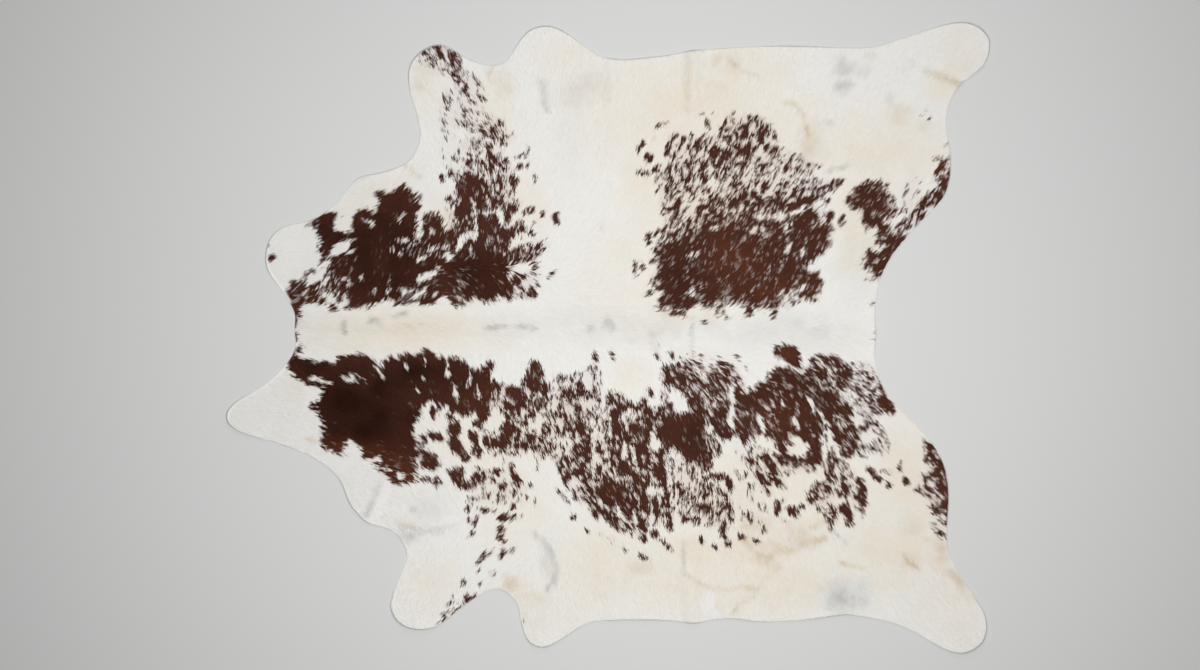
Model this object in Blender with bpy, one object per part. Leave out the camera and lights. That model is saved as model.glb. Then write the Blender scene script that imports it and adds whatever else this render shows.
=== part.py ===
"""Cowhide rug: one whole tanned hide, hair side up, laid flat on a floor.

The hide is a single thin sheet. +X runs along the back from the neck to the hind legs, +Y is
the side that lies away from a viewer who has the neck at the left, and +Z is up. The origin is
under the middle of the hide, on the floor. The sheet touches the floor everywhere except along
its soft fold lines and where its rim lifts a little.
"""
from collections import namedtuple

import bpy
import numpy as np
from mathutils import Vector
from mathutils.geometry import delaunay_2d_cdt

# Driving dimensions, in metres
HIDE_LENGTH = 2.30  # neck to hind legs
HIDE_WIDTH = 1.90  # hind leg to hind leg across the back
SKIN_THICKNESS = 0.003
EDGE_STEP = 0.020  # spacing of the mesh points along the cut edge
SKIN_STEP = 0.035  # spacing of the mesh points inside it
CM = 0.01

# The cut edge, clockwise seen from above, as points in centimetres from the hide's middle
Stretch = namedtuple("Stretch", "name points")
CUT_EDGE = (
    Stretch("neck to far cheek", (
        (-94.7, 2.4), (-94.7, 7.6), (-97.7, 13.3), (-102.3, 20.0), (-103.2, 24.8), (-101.7, 30.3),
        (-97.4, 33.9), (-89.9, 35.4))),
    Stretch("far shoulder", (
        (-82.6, 40.5), (-79.0, 44.8), (-75.3, 48.4), (-67.2, 50.2), (-59.9, 53.6), (-56.6, 59.9))),
    Stretch("far foreleg", (
        (-57.2, 66.0), (-59.6, 75.0), (-59.6, 82.3), (-55.1, 87.1), (-49.9, 88.4), (-43.0, 84.7),
        (-38.1, 82.9))),
    Stretch("far elbow flap", (
        (-33.9, 82.6), (-30.3, 84.1), (-26.3, 90.2), (-23.0, 93.2), (-18.2, 94.1), (-13.0, 92.3),
        (-6.1, 87.5), (-1.5, 85.0))),
    Stretch("far belly", (
        (4.8, 84.1), (16.9, 85.3), (25.7, 86.8), (42.7, 88.1), (61.1, 88.1), (77.8, 87.8))),
    Stretch("far hind leg", (
        (85.9, 89.6), (96.8, 93.2), (102.0, 94.7), (107.4, 95.3), (112.3, 93.5), (115.0, 89.3),
        (113.5, 83.2), (109.5, 79.6), (105.6, 76.3), (102.9, 70.8), (102.0, 65.4))),
    Stretch("far rump", (
        (103.2, 56.3), (102.9, 48.1), (99.9, 40.9), (90.8, 31.5), (84.7, 23.6), (81.7, 16.3),
        (80.5, 7.6))),
    Stretch("near rump", (
        (80.8, 0.9), (80.5, -5.7), (82.0, -12.7), (86.5, -20.0), (94.7, -28.1), (100.8, -36.9),
        (102.6, -46.0))),
    Stretch("near hind leg", (
        (102.3, -58.1), (103.2, -66.0), (108.6, -75.3), (112.6, -81.7), (114.1, -86.8),
        (112.6, -92.0), (107.4, -95.0), (101.7, -93.8), (92.0, -88.4), (85.9, -85.9))),
    Stretch("near belly", (
        (76.9, -84.1), (70.5, -83.5), (57.5, -85.3), (46.0, -85.6), (38.7, -84.7), (32.7, -85.0),
        (26.0, -85.9), (13.9, -85.0), (-1.2, -85.3))),
    Stretch("near elbow flap", (
        (-7.6, -86.8), (-15.1, -91.4), (-19.7, -93.2), (-23.9, -91.4), (-26.0, -85.9),
        (-27.5, -79.9), (-32.1, -76.0))),
    Stretch("near foreleg", (
        (-36.6, -76.3), (-44.8, -81.7), (-51.4, -86.8), (-56.9, -87.8), (-62.3, -86.2),
        (-65.4, -81.1), (-63.2, -72.9), (-60.5, -66.0))),
    Stretch("near shoulder", (
        (-62.0, -61.4), (-65.7, -57.8), (-72.3, -55.7), (-77.5, -50.5), (-81.1, -42.7),
        (-88.1, -36.6), (-97.1, -32.4))),
    Stretch("near cheek", (
        (-105.9, -30.0), (-112.3, -27.5), (-115.0, -23.9), (-112.6, -19.7), (-102.6, -13.3),
        (-96.2, -6.4), (-94.4, -1.8))),
)

# Soft creases left by folding the hide: a line from start to end in centimetres, the crest's
# rise at the start and at the end, and the distance from crest to floor either side
Fold = namedtuple("Fold", "name x0 y0 x1 y1 rise0 rise1 reach")
FOLDS = (
    Fold("far belly fold", 25.6, 88.0, 25.2, 62.0, 1.1, 0.3, 4.0),
    Fold("near belly fold", 25.6, -87.0, 25.2, -62.0, 1.0, 0.3, 4.0),
    Fold("far flank fold", 1.4, 86.0, 1.8, 60.0, 0.7, 0.2, 3.5),
    Fold("near flank fold", 1.4, -86.0, 1.4, -72.0, 0.6, 0.2, 3.5),
    Fold("back fold at the neck", -92.0, 5.0, -22.0, 3.0, 0.6, 0.3, 3.5),
    Fold("far thigh fold", 73.0, 72.5, 90.0, 83.0, 0.3, 0.6, 3.5),
    Fold("far hock fold", 95.0, 81.0, 106.5, 76.5, 0.3, 0.8, 3.0),
    Fold("near cheek fold", -68.5, -43.5, -74.0, -55.5, 0.4, 0.7, 3.0),
    Fold("near armpit fold", -61.5, -57.5, -46.0, -57.0, 0.6, 0.2, 3.0),
)

# Places where the rim of the dry skin stands off the floor: middle, reach and rise in centimetres
Lift = namedtuple("Lift", "name x y reach rise")
LIFTS = (
    Lift("far cheek", -104.0, 27.0, 13.0, 0.8),
    Lift("far shoulder", -71.0, 51.0, 11.0, 0.6),
    Lift("far foreleg", -54.0, 88.0, 18.0, 1.1),
    Lift("far elbow flap", -18.0, 95.0, 15.0, 1.0),
    Lift("far belly, front", 10.0, 88.0, 12.0, 0.6),
    Lift("far belly, back", 56.0, 91.0, 14.0, 0.7),
    Lift("far hind leg", 114.0, 92.0, 20.0, 1.2),
    Lift("far rump", 106.0, 50.0, 13.0, 0.8),
    Lift("tail cut", 82.0, 3.0, 9.0, 0.5),
    Lift("near rump", 106.0, -48.0, 14.0, 0.8),
    Lift("near hind leg", 113.0, -91.0, 20.0, 1.2),
    Lift("near belly, back", 68.0, -87.0, 12.0, 0.8),
    Lift("near belly, middle", 42.0, -89.0, 10.0, 0.6),
    Lift("near belly, front", 10.0, -88.0, 13.0, 0.7),
    Lift("near elbow flap", -19.0, -95.0, 15.0, 1.0),
    Lift("near foreleg", -60.0, -89.0, 18.0, 1.1),
    Lift("near shoulder", -81.0, -49.0, 12.0, 0.8),
    Lift("near cheek", -115.0, -24.0, 16.0, 1.0),
)


def clear_scene():
    for item in list(bpy.data.objects):
        bpy.data.objects.remove(item)


def smooth_loop(points, steps):
    """Closed Catmull-Rom curve: each span is the cubic through its own two points whose slopes
    there run parallel to the line between the points before and after."""
    before, start = np.roll(points, 1, axis=0), points
    end, after = np.roll(points, -1, axis=0), np.roll(points, -2, axis=0)
    t = np.linspace(0, 1, steps, endpoint=False)[None, :, None]
    before, start, end, after = (p[:, None, :] for p in (before, start, end, after))
    curve = 0.5 * (2 * start + (end - before) * t
                   + (2 * before - 5 * start + 4 * end - after) * t ** 2
                   + (3 * start - before - 3 * end + after) * t ** 3)
    return curve.reshape(-1, 2)


def evenly_spaced(loop, step):
    """The same closed line with its points about one step apart along its length."""
    closed = np.vstack([loop, loop[:1]])
    run = np.concatenate([[0], np.cumsum(np.linalg.norm(np.diff(closed, axis=0), axis=1))])
    places = np.linspace(0, run[-1], round(run[-1] / step), endpoint=False)
    return np.column_stack([np.interp(places, run, closed[:, axis]) for axis in (0, 1)])


def cut_edge():
    """The hide's outline in metres, anticlockwise, centred and cut to the rug's exact size."""
    points = np.array([p for stretch in CUT_EDGE for p in stretch.points]) * CM
    edge = evenly_spaced(smooth_loop(points, steps=12)[::-1], EDGE_STEP)
    low, high = edge.min(axis=0), edge.max(axis=0)
    return (edge - (low + high) / 2) * np.array([HIDE_LENGTH, HIDE_WIDTH]) / (high - low)


def rise_at(x, y):
    """Height of the skin's underside over the floor: exactly 0 away from folds and lifts.

    A fold's section is rise * (1 - (across / reach)^2)^2, and a lift is the same bump turned
    round its middle. Where two meet, the higher one counts."""
    height = np.zeros_like(x)
    for fold in FOLDS:
        start = np.array([fold.x0, fold.y0]) * CM
        along = np.array([fold.x1, fold.y1]) * CM - start
        length = np.linalg.norm(along)
        along /= length
        t = ((x - start[0]) * along[0] + (y - start[1]) * along[1]) / length
        t = np.clip(t, 0, 1)
        away = np.hypot(x - start[0] - t * length * along[0], y - start[1] - t * length * along[1])
        crest = (fold.rise0 + (fold.rise1 - fold.rise0) * t) * CM
        section = np.clip(1 - (away / (fold.reach * CM)) ** 2, 0, None) ** 2
        height = np.maximum(height, crest * section)
    for lift in LIFTS:
        away = np.hypot(x - lift.x * CM, y - lift.y * CM)
        bump = lift.rise * CM * np.clip(1 - (away / (lift.reach * CM)) ** 2, 0, None) ** 2
        height = np.maximum(height, bump)
    return height


def fold_points(fold):
    """Rows of points along a fold: on its crest, half way down and at its foot on both sides."""
    start = np.array([fold.x0, fold.y0]) * CM
    end = np.array([fold.x1, fold.y1]) * CM
    along = (end - start) / np.linalg.norm(end - start)
    across = np.array([-along[1], along[0]]) * fold.reach * CM
    count = round(np.linalg.norm(end - start) / SKIN_STEP) + 1
    crest = start + np.linspace(0, 1, count)[:, None] * (end - start)
    return np.vstack([crest + share * across for share in (-1, -0.5, 0, 0.5, 1)])


def distance_inside(points, edge):
    """How far each point lies inside the outline, negative outside it."""
    start, end = edge, np.roll(edge, -1, axis=0)
    span = end - start
    gap = points[:, None, :] - start[None]
    t = np.clip((gap * span).sum(axis=2) / (span ** 2).sum(axis=1), 0, 1)
    away = np.linalg.norm(gap - t[..., None] * span, axis=2).min(axis=1)
    x, y = points[:, :1], points[:, 1:]
    spans_y = (start[:, 1] > y) != (end[:, 1] > y)
    rise = np.where(span[:, 1] == 0, 1, span[:, 1])
    crossing = start[:, 0] + (y - start[:, 1]) * span[:, 0] / rise
    inside = (spans_y & (x < crossing)).sum(axis=1) % 2 == 1
    return np.where(inside, away, -away)


def skin_points(edge):
    """Points inside the edge: rows along the folds, and a triangular lattice between them."""
    folds = np.vstack([fold_points(fold) for fold in FOLDS])
    row_step = SKIN_STEP * np.sqrt(3) / 2
    rows = np.arange(-HIDE_WIDTH / 2, HIDE_WIDTH / 2, row_step)
    columns = np.arange(-HIDE_LENGTH / 2, HIDE_LENGTH / 2, SKIN_STEP)
    x, y = np.meshgrid(columns, rows)
    x[1::2] += SKIN_STEP / 2
    lattice = np.column_stack([x.ravel(), y.ravel()])
    from_folds = np.linalg.norm(lattice[:, None] - folds[None], axis=2).min(axis=1)
    points = np.vstack([folds, lattice[from_folds > 0.6 * SKIN_STEP]])
    return points[distance_inside(points, edge) > 0.5 * EDGE_STEP]


def hide_mesh():
    """One closed sheet: upper skin, underside a thickness below it, and the cut edge between."""
    edge = cut_edge()
    flat = [Vector(p) for p in np.vstack([edge, skin_points(edge)])]
    rim = list(range(len(edge)))
    inside_only = 1
    spots, _, triangles, *_ = delaunay_2d_cdt(flat, [], [rim], inside_only, 1e-6)
    spots = np.array([tuple(p) for p in spots])
    under = np.column_stack([spots, rise_at(spots[:, 0], spots[:, 1])])
    over = under + [0, 0, SKIN_THICKNESS]
    count = len(spots)
    faces = [tuple(corner + count for corner in face) for face in triangles]
    faces += [tuple(reversed(face)) for face in triangles]
    for here, there in zip(rim, rim[1:] + rim[:1]):
        faces.append((here, there, there + count))
        faces.append((here, there + count, here + count))
    mesh = bpy.data.meshes.new("hide")
    mesh.from_pydata(np.vstack([under, over]).tolist(), [], faces)
    mesh.validate()
    mesh.shade_smooth()
    mesh.set_sharp_from_angle(angle=np.radians(40))
    return mesh


def hide_material():
    """Hair-on hide, cream between its brown patches: matt, with the soft gloss of short hair."""
    material = bpy.data.materials.new("hair_on_hide")
    material.use_nodes = True
    surface = material.node_tree.nodes["Principled BSDF"]
    surface.inputs["Base Color"].default_value = (0.62, 0.54, 0.46, 1.0)
    surface.inputs["Roughness"].default_value = 0.6
    surface.inputs["Metallic"].default_value = 0.0
    return material


clear_scene()
hide = bpy.data.objects.new("hide", hide_mesh())
hide.data.materials.append(hide_material())
bpy.context.scene.collection.objects.link(hide)
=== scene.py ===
"""Cowhide rug, hair side up: the skin, the hair that grows on it, and a plain studio floor.

Lengths are metres unless a table says centimetres. +X runs along the back from neck to hind legs,
+Y is the far side in the camera's view, and +Z is up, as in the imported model.
"""

from collections import namedtuple

import bpy
import numpy as np
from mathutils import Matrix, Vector
from mathutils.geometry import delaunay_2d_cdt


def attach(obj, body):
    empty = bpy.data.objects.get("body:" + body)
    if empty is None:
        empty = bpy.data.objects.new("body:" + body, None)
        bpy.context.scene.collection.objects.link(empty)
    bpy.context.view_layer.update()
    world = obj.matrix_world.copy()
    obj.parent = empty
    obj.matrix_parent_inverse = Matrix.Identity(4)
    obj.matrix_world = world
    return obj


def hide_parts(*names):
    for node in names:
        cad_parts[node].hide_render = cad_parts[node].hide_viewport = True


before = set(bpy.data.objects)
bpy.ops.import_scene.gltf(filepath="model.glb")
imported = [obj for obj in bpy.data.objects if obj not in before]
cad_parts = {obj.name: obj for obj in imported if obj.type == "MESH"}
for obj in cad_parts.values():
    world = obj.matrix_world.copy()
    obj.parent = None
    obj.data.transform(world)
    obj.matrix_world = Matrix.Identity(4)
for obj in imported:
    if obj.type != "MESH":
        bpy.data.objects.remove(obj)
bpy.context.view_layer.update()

# --- The skin --------------------------------------------------------------------------------
# One whole tanned hide trimmed along its own outline, from the neck and cheeks to the hind legs.
# It is leather about 3 mm thick, suede underneath, and lies loose on the floor: the folds are
# those it was packed with, and the dry rim stands a little off the floor in places.
CM = 0.01
HIDE_LENGTH = 2.30
HIDE_WIDTH = 1.90
SKIN_THICKNESS = 0.003
EDGE_STEP = 0.006  # spacing of the mesh points along the cut edge
SKIN_STEP = 0.014  # and inside it
CUT_ANGLE = 40  # degrees: the edges of the cut turn more than this, and are shaded sharp


def table(columns, *rows):
    """Rows of values whose columns have these names."""
    row_type = namedtuple("Row", columns)
    return [row_type(*row) for row in rows]


# The cut edge, clockwise seen from above, as points in centimetres from the hide's middle
CUT_EDGE = table(
    "name points",
    ("neck to far cheek", (
        (-94.7, 2.4), (-94.7, 7.6), (-97.7, 13.3), (-102.3, 20), (-103.2, 24.8), (-101.7, 30.3),
        (-97.4, 33.9), (-89.9, 35.4))),
    ("far shoulder", (
        (-82.6, 40.5), (-79, 44.8), (-75.3, 48.4), (-67.2, 50.2), (-59.9, 53.6), (-56.6, 59.9))),
    ("far foreleg", (
        (-57.2, 66), (-59.6, 75), (-59.6, 82.3), (-55.1, 87.1), (-49.9, 88.4), (-43, 84.7),
        (-38.1, 82.9))),
    ("far elbow flap", (
        (-33.9, 82.6), (-30.3, 84.1), (-26.3, 90.2), (-23, 93.2), (-18.2, 94.1), (-13, 92.3),
        (-6.1, 87.5), (-1.5, 85))),
    ("far belly", (
        (4.8, 84.1), (16.9, 85.3), (25.7, 86.8), (42.7, 88.1), (61.1, 88.1), (77.8, 87.8))),
    ("far hind leg", (
        (85.9, 89.6), (96.8, 93.2), (102, 94.7), (107.4, 95.3), (112.3, 93.5), (115, 89.3),
        (113.5, 83.2), (109.5, 79.6), (105.6, 76.3), (102.9, 70.8), (102, 65.4))),
    ("far rump", (
        (103.2, 56.3), (102.9, 48.1), (99.9, 40.9), (90.8, 31.5), (84.7, 23.6), (81.7, 16.3),
        (80.5, 7.6))),
    ("near rump", (
        (80.8, 0.9), (80.5, -5.7), (82, -12.7), (86.5, -20), (94.7, -28.1), (100.8, -36.9),
        (102.6, -46))),
    ("near hind leg", (
        (102.3, -58.1), (103.2, -66), (108.6, -75.3), (112.6, -81.7), (114.1, -86.8), (112.6, -92),
        (107.4, -95), (101.7, -93.8), (92, -88.4), (85.9, -85.9))),
    ("near belly", (
        (76.9, -84.1), (70.5, -83.5), (57.5, -85.3), (46, -85.6), (38.7, -84.7), (32.7, -85),
        (26, -85.9), (13.9, -85), (-1.2, -85.3))),
    ("near elbow flap", (
        (-7.6, -86.8), (-15.1, -91.4), (-19.7, -93.2), (-23.9, -91.4), (-26, -85.9), (-27.5, -79.9),
        (-32.1, -76))),
    ("near foreleg", (
        (-36.6, -76.3), (-44.8, -81.7), (-51.4, -86.8), (-56.9, -87.8), (-62.3, -86.2),
        (-65.4, -81.1), (-63.2, -72.9), (-60.5, -66))),
    ("near shoulder", (
        (-62, -61.4), (-65.7, -57.8), (-72.3, -55.7), (-77.5, -50.5), (-81.1, -42.7),
        (-88.1, -36.6), (-97.1, -32.4))),
    ("near cheek", (
        (-105.9, -30), (-112.3, -27.5), (-115, -23.9), (-112.6, -19.7), (-102.6, -13.3),
        (-96.2, -6.4), (-94.4, -1.8))),
)

# Soft creases left by folding the hide: a line from start to end in centimetres, the crest's
# rise at the start and at the end, and the distance from crest to floor either side
FOLDS = table(
    "name x0 y0 x1 y1 rise0 rise1 reach",
    ("far belly fold", 25.6, 88, 25.2, 62, 1.1, 0.3, 4),
    ("near belly fold", 25.6, -87, 25.2, -62, 1, 0.3, 4),
    ("far flank fold", 1.4, 86, 1.8, 60, 0.7, 0.2, 3.5),
    ("near flank fold", 1.4, -86, 1.4, -72, 0.6, 0.2, 3.5),
    ("back fold at the neck", -92, 5, -22, 3, 0.6, 0.3, 3.5),
    ("far thigh fold", 73, 72.5, 90, 83, 0.3, 0.6, 3.5),
    ("far hock fold", 95, 81, 106.5, 76.5, 0.3, 0.8, 3),
    ("near cheek fold", -68.5, -43.5, -74, -55.5, 0.4, 0.7, 3),
    ("near armpit fold", -61.5, -57.5, -46, -57, 0.6, 0.2, 3),
)

# Places where the rim of the dry skin stands off the floor, in centimetres
LIFTS = table(
    "name x y reach rise",
    ("far cheek", -104, 27, 13, 0.8), ("far shoulder", -71, 51, 11, 0.6),
    ("far foreleg", -54, 88, 18, 1.1), ("far elbow flap", -18, 95, 15, 1),
    ("far belly, front", 10, 88, 12, 0.6), ("far belly, back", 56, 91, 14, 0.7),
    ("far hind leg", 114, 92, 20, 1.2), ("far rump", 106, 50, 13, 0.8), ("tail cut", 82, 3, 9, 0.5),
    ("near rump", 106, -48, 14, 0.8), ("near hind leg", 113, -91, 20, 1.2),
    ("near belly, back", 68, -87, 12, 0.8), ("near belly, middle", 42, -89, 10, 0.6),
    ("near belly, front", 10, -88, 13, 0.7), ("near elbow flap", -19, -95, 15, 1),
    ("near foreleg", -60, -89, 18, 1.1), ("near shoulder", -81, -49, 12, 0.8),
    ("near cheek", -115, -24, 16, 1),
)


def blend(pair, part):
    """The value that lies this part of the way from the pair's first value to its second."""
    return pair[0] + (pair[1] - pair[0]) * part


def smooth_loop(points, steps):
    """Closed Catmull-Rom curve: each span is the cubic through its own two points whose slopes
    there run parallel to the line between the points before and after."""
    before, start = np.roll(points, 1, axis=0), points
    end, after = np.roll(points, -1, axis=0), np.roll(points, -2, axis=0)
    t = np.linspace(0, 1, steps, endpoint=False)[None, :, None]
    before, start, end, after = (p[:, None, :] for p in (before, start, end, after))
    curve = 0.5 * (2 * start + (end - before) * t
                   + (2 * before - 5 * start + 4 * end - after) * t ** 2
                   + (3 * start - before - 3 * end + after) * t ** 3)
    return curve.reshape(-1, 2)


def evenly_spaced(loop, step):
    """The same closed line with its points about one step apart along its length."""
    closed = np.vstack([loop, loop[:1]])
    run = np.concatenate([[0], np.cumsum(np.linalg.norm(np.diff(closed, axis=0), axis=1))])
    places = np.linspace(0, run[-1], round(run[-1] / step), endpoint=False)
    return np.column_stack([np.interp(places, run, closed[:, axis]) for axis in (0, 1)])


def cut_edge():
    """The hide's outline in metres, anticlockwise, centred and cut to the rug's exact size."""
    points = np.array([p for stretch in CUT_EDGE for p in stretch.points]) * CM
    edge = evenly_spaced(smooth_loop(points, steps=12)[::-1], EDGE_STEP)
    low, high = edge.min(axis=0), edge.max(axis=0)
    return (edge - (low + high) / 2) * np.array([HIDE_LENGTH, HIDE_WIDTH]) / (high - low)


def bump(away, reach):
    """Section of a soft rise: (1 - (away / reach)^2)^2, and 0 from the reach on."""
    return np.clip(1 - (away / (reach * CM)) ** 2, 0, None) ** 2


def to_line(x, y, x0, y0, x1, y1):
    """Distance of each point to the line between two places given in centimetres, and how much
    of the way along the line its nearest point lies."""
    span_x, span_y = (x1 - x0) * CM, (y1 - y0) * CM
    dx, dy = x - x0 * CM, y - y0 * CM
    t = np.clip((dx * span_x + dy * span_y) / (span_x ** 2 + span_y ** 2), 0, 1)
    return np.hypot(dx - t * span_x, dy - t * span_y), t


def rise_at(x, y):
    """Height of the skin's underside over the floor: 0 away from folds and lifts. A fold is a
    bump across its line and a lift one round its middle, and where two meet the higher counts."""
    height = np.zeros_like(x)
    for fold in FOLDS:
        away, t = to_line(x, y, fold.x0, fold.y0, fold.x1, fold.y1)
        crest = blend((fold.rise0, fold.rise1), t) * CM
        height = np.maximum(height, crest * bump(away, fold.reach))
    for lift in LIFTS:
        away = np.hypot(x - lift.x * CM, y - lift.y * CM)
        height = np.maximum(height, lift.rise * CM * bump(away, lift.reach))
    return height


def depth_inside(x, y, loop):
    """Distance of each point to a closed line, positive inside it and negative outside."""
    start, end = loop, np.roll(loop, -1, axis=0)
    span = end - start
    dx, dy = x[:, None] - start[:, 0], y[:, None] - start[:, 1]
    t = np.clip((dx * span[:, 0] + dy * span[:, 1]) / (span ** 2).sum(axis=1), 0, 1)
    away = np.hypot(dx - t * span[:, 0], dy - t * span[:, 1]).min(axis=1)
    level = np.where(span[:, 1] == 0, 1, span[:, 1])
    passed = (start[:, 1] > y[:, None]) != (end[:, 1] > y[:, None])
    inside = (passed & (dx < dy * span[:, 0] / level)).sum(axis=1) % 2 == 1
    return np.where(inside, away, -away)


# What varies over the hide is worked out once on this lattice and read off between its points
CELL = 0.004
MARGIN = 0.04  # lattice round the hide
COLUMNS = np.arange(-HIDE_LENGTH / 2 - MARGIN, HIDE_LENGTH / 2 + MARGIN, CELL)
ROWS = np.arange(-HIDE_WIDTH / 2 - MARGIN, HIDE_WIDTH / 2 + MARGIN, CELL)
plan_x, plan_y = np.meshgrid(COLUMNS, ROWS)


def between(field, u, v, ease=lambda part: part):
    """A field of values at places between its columns and rows: the four round each place,
    weighted by nearness."""
    i, j = u.astype(int), v.astype(int)
    a, b = ease(u - i), ease(v - j)
    low = field[j, i] * (1 - a) + field[j, i + 1] * a
    high = field[j + 1, i] * (1 - a) + field[j + 1, i + 1] * a
    return low * (1 - b) + high * b


def read_off(field, x, y):
    """A lattice field at any places. One outside the lattice takes the value at its rim."""
    rim = 1.001  # of a cell, so that the next point still exists
    return between(field, np.clip((x - COLUMNS[0]) / CELL, 0, len(COLUMNS) - rim),
                   np.clip((y - ROWS[0]) / CELL, 0, len(ROWS) - rim))


def near(x, y, reach):
    """The part of the lattice within reach of a place, as slices of its rows and columns."""
    return (slice(*np.searchsorted(ROWS, [y - reach, y + reach])),
            slice(*np.searchsorted(COLUMNS, [x - reach, x + reach])))


def skin_depth(edge):
    """How far each lattice point lies inside the cut edge, worked out a row at a time."""
    every_third = edge[::3]
    return np.array([depth_inside(x, y, every_third) for x, y in zip(plan_x, plan_y)])


def skin_points():
    """A triangular lattice of points inside the edge, none nearer to it than half a step."""
    x, y = np.meshgrid(np.arange(COLUMNS[0], COLUMNS[-1], SKIN_STEP),
                       np.arange(ROWS[0], ROWS[-1], SKIN_STEP * np.sqrt(3) / 2))
    x[1::2] += SKIN_STEP / 2
    x, y = x.ravel(), y.ravel()
    inside = read_off(inside_by, x, y) > SKIN_STEP / 2
    return np.column_stack([x[inside], y[inside]])


def skin_mesh(edge):
    """One closed sheet over the points of the plan: the underside at the folds' height, the upper
    side a thickness above it, and the cut edge between them."""
    flat = np.vstack([edge, skin_points()])
    rim = np.arange(len(edge))
    inside_only, tolerance = 1, 1e-6
    _, _, faces, *_ = delaunay_2d_cdt(
        [Vector(p) for p in flat], [], [rim.tolist()], inside_only, tolerance)
    faces = np.array(faces)
    count = len(flat)
    under = np.column_stack([flat, rise_at(flat[:, 0], flat[:, 1])])
    over = under + [0, 0, SKIN_THICKNESS]
    after = np.roll(rim, -1)
    walls = np.vstack([np.column_stack([rim, after, after + count]),
                       np.column_stack([rim, after + count, rim + count])])
    mesh = bpy.data.meshes.new("skin")
    mesh.from_pydata(np.vstack([under, over]).tolist(), [],
                     np.vstack([faces + count, faces[:, ::-1], walls]).tolist())
    mesh.shade_smooth()
    mesh.set_sharp_from_angle(angle=np.radians(CUT_ANGLE))
    return mesh


class Shade:
    """One socket of a material. Sums with others or with plain numbers add its Math nodes."""

    def __init__(self, tree, socket=None):
        self.tree, self.socket = tree, socket

    def node(self, kind, settings, sockets, output=0):
        """Adds a node of a type, sets its settings, then gives its sockets values or links, and
        returns one of its outputs."""
        made = self.tree.nodes.new(kind)
        for name, value in settings.items():
            setattr(made, name, value)
        for name, value in sockets.items():
            if isinstance(value, Shade):
                self.tree.links.new(value.socket, made.inputs[name])
            else:
                made.inputs[name].default_value = value
        return Shade(self.tree, made.outputs[output])

    def maths(self, operation, *values):
        """A Math node of this operation on the values."""
        return self.node("ShaderNodeMath", {"operation": operation}, dict(enumerate(values)))

    def __add__(self, other):
        return self.maths("ADD", self, other)

    def __sub__(self, other):
        return self.maths("SUBTRACT", self, other)

    def __rsub__(self, other):
        return self.maths("SUBTRACT", other, self)

    def __mul__(self, other):
        return self.maths("MULTIPLY", self, other)

    __radd__ = __add__
    __rmul__ = __mul__

    def fitted(self, low, high):
        """0 where this is at low or under, 1 at high or over, and a smooth step between."""
        return self.node("ShaderNodeMapRange", {"interpolation_type": "SMOOTHSTEP"},
                         {"Value": self, "From Min": low, "From Max": high})

    def mixed(self, start, end):
        """The colour start where this is 0 and end where it is 1."""
        return self.node("ShaderNodeMix", {"data_type": "RGBA"}, {0: self, 6: start, 7: end}, 2)

    def noise(self, scale, detail):
        """A noise pattern on the object's own coordinates."""
        place = self.node("ShaderNodeTexCoord", {}, {}, "Object")
        return self.node("ShaderNodeTexNoise", {},
                         {"Vector": place, "Scale": scale, "Detail": detail})

    def mark(self, name):
        """A value kept at each point of the mesh under this name."""
        return self.node("ShaderNodeAttribute", {"attribute_name": name}, {}, "Fac")


def paint(red, green, blue):
    """A colour read off the photograph on a scale of 0 to 255, as Blender's linear colour."""
    share = np.array([red, green, blue]) / 255
    linear = np.where(share > 0.04045, ((share + 0.055) / 1.055) ** 2.4, share / 12.92)
    return (*linear.tolist(), 1.0)


def new_material(name, roughness, gloss):
    """A Principled material: the material, a Shade to build on, and a function that feeds a
    socket of its surface."""
    material = bpy.data.materials.new(name)
    material.use_nodes = True
    tree = material.node_tree
    sockets = tree.nodes["Principled BSDF"].inputs
    sockets["Roughness"].default_value = roughness
    sockets["Specular IOR Level"].default_value = gloss

    def feed(socket, shade):
        tree.links.new(shade.socket, sockets[socket])

    return material, Shade(tree), feed


def keep_marks(mesh, marks):
    """Keeps each of the named values at the mesh's points, where the materials read them."""
    for name, values in marks.items():
        layer = mesh.attributes.new(name, "FLOAT", "POINT")
        layer.data.foreach_set("value", np.ascontiguousarray(values, dtype=np.float32))


def place_object(name, data, material=None):
    """An object at the origin that shows this data, in this material."""
    item = bpy.data.objects.new(name, data)
    if material:
        data.materials.append(material)
    bpy.context.scene.collection.objects.link(item)
    return item


edge_line = cut_edge()
inside_by = skin_depth(edge_line)
rise = rise_at(plan_x, plan_y)

# --- The coat's pattern ------------------------------------------------------------------------
# Which hair grows where: brown patches over the shoulders, flanks and rump either side of a white
# back, breaking into speckles below, on white hair that turns cream towards the belly and legs.
# The hair lies outwards and backwards from the line of the back.
COMB_CORE = 4  # centimetres round a comb in which it rules alone

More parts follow.
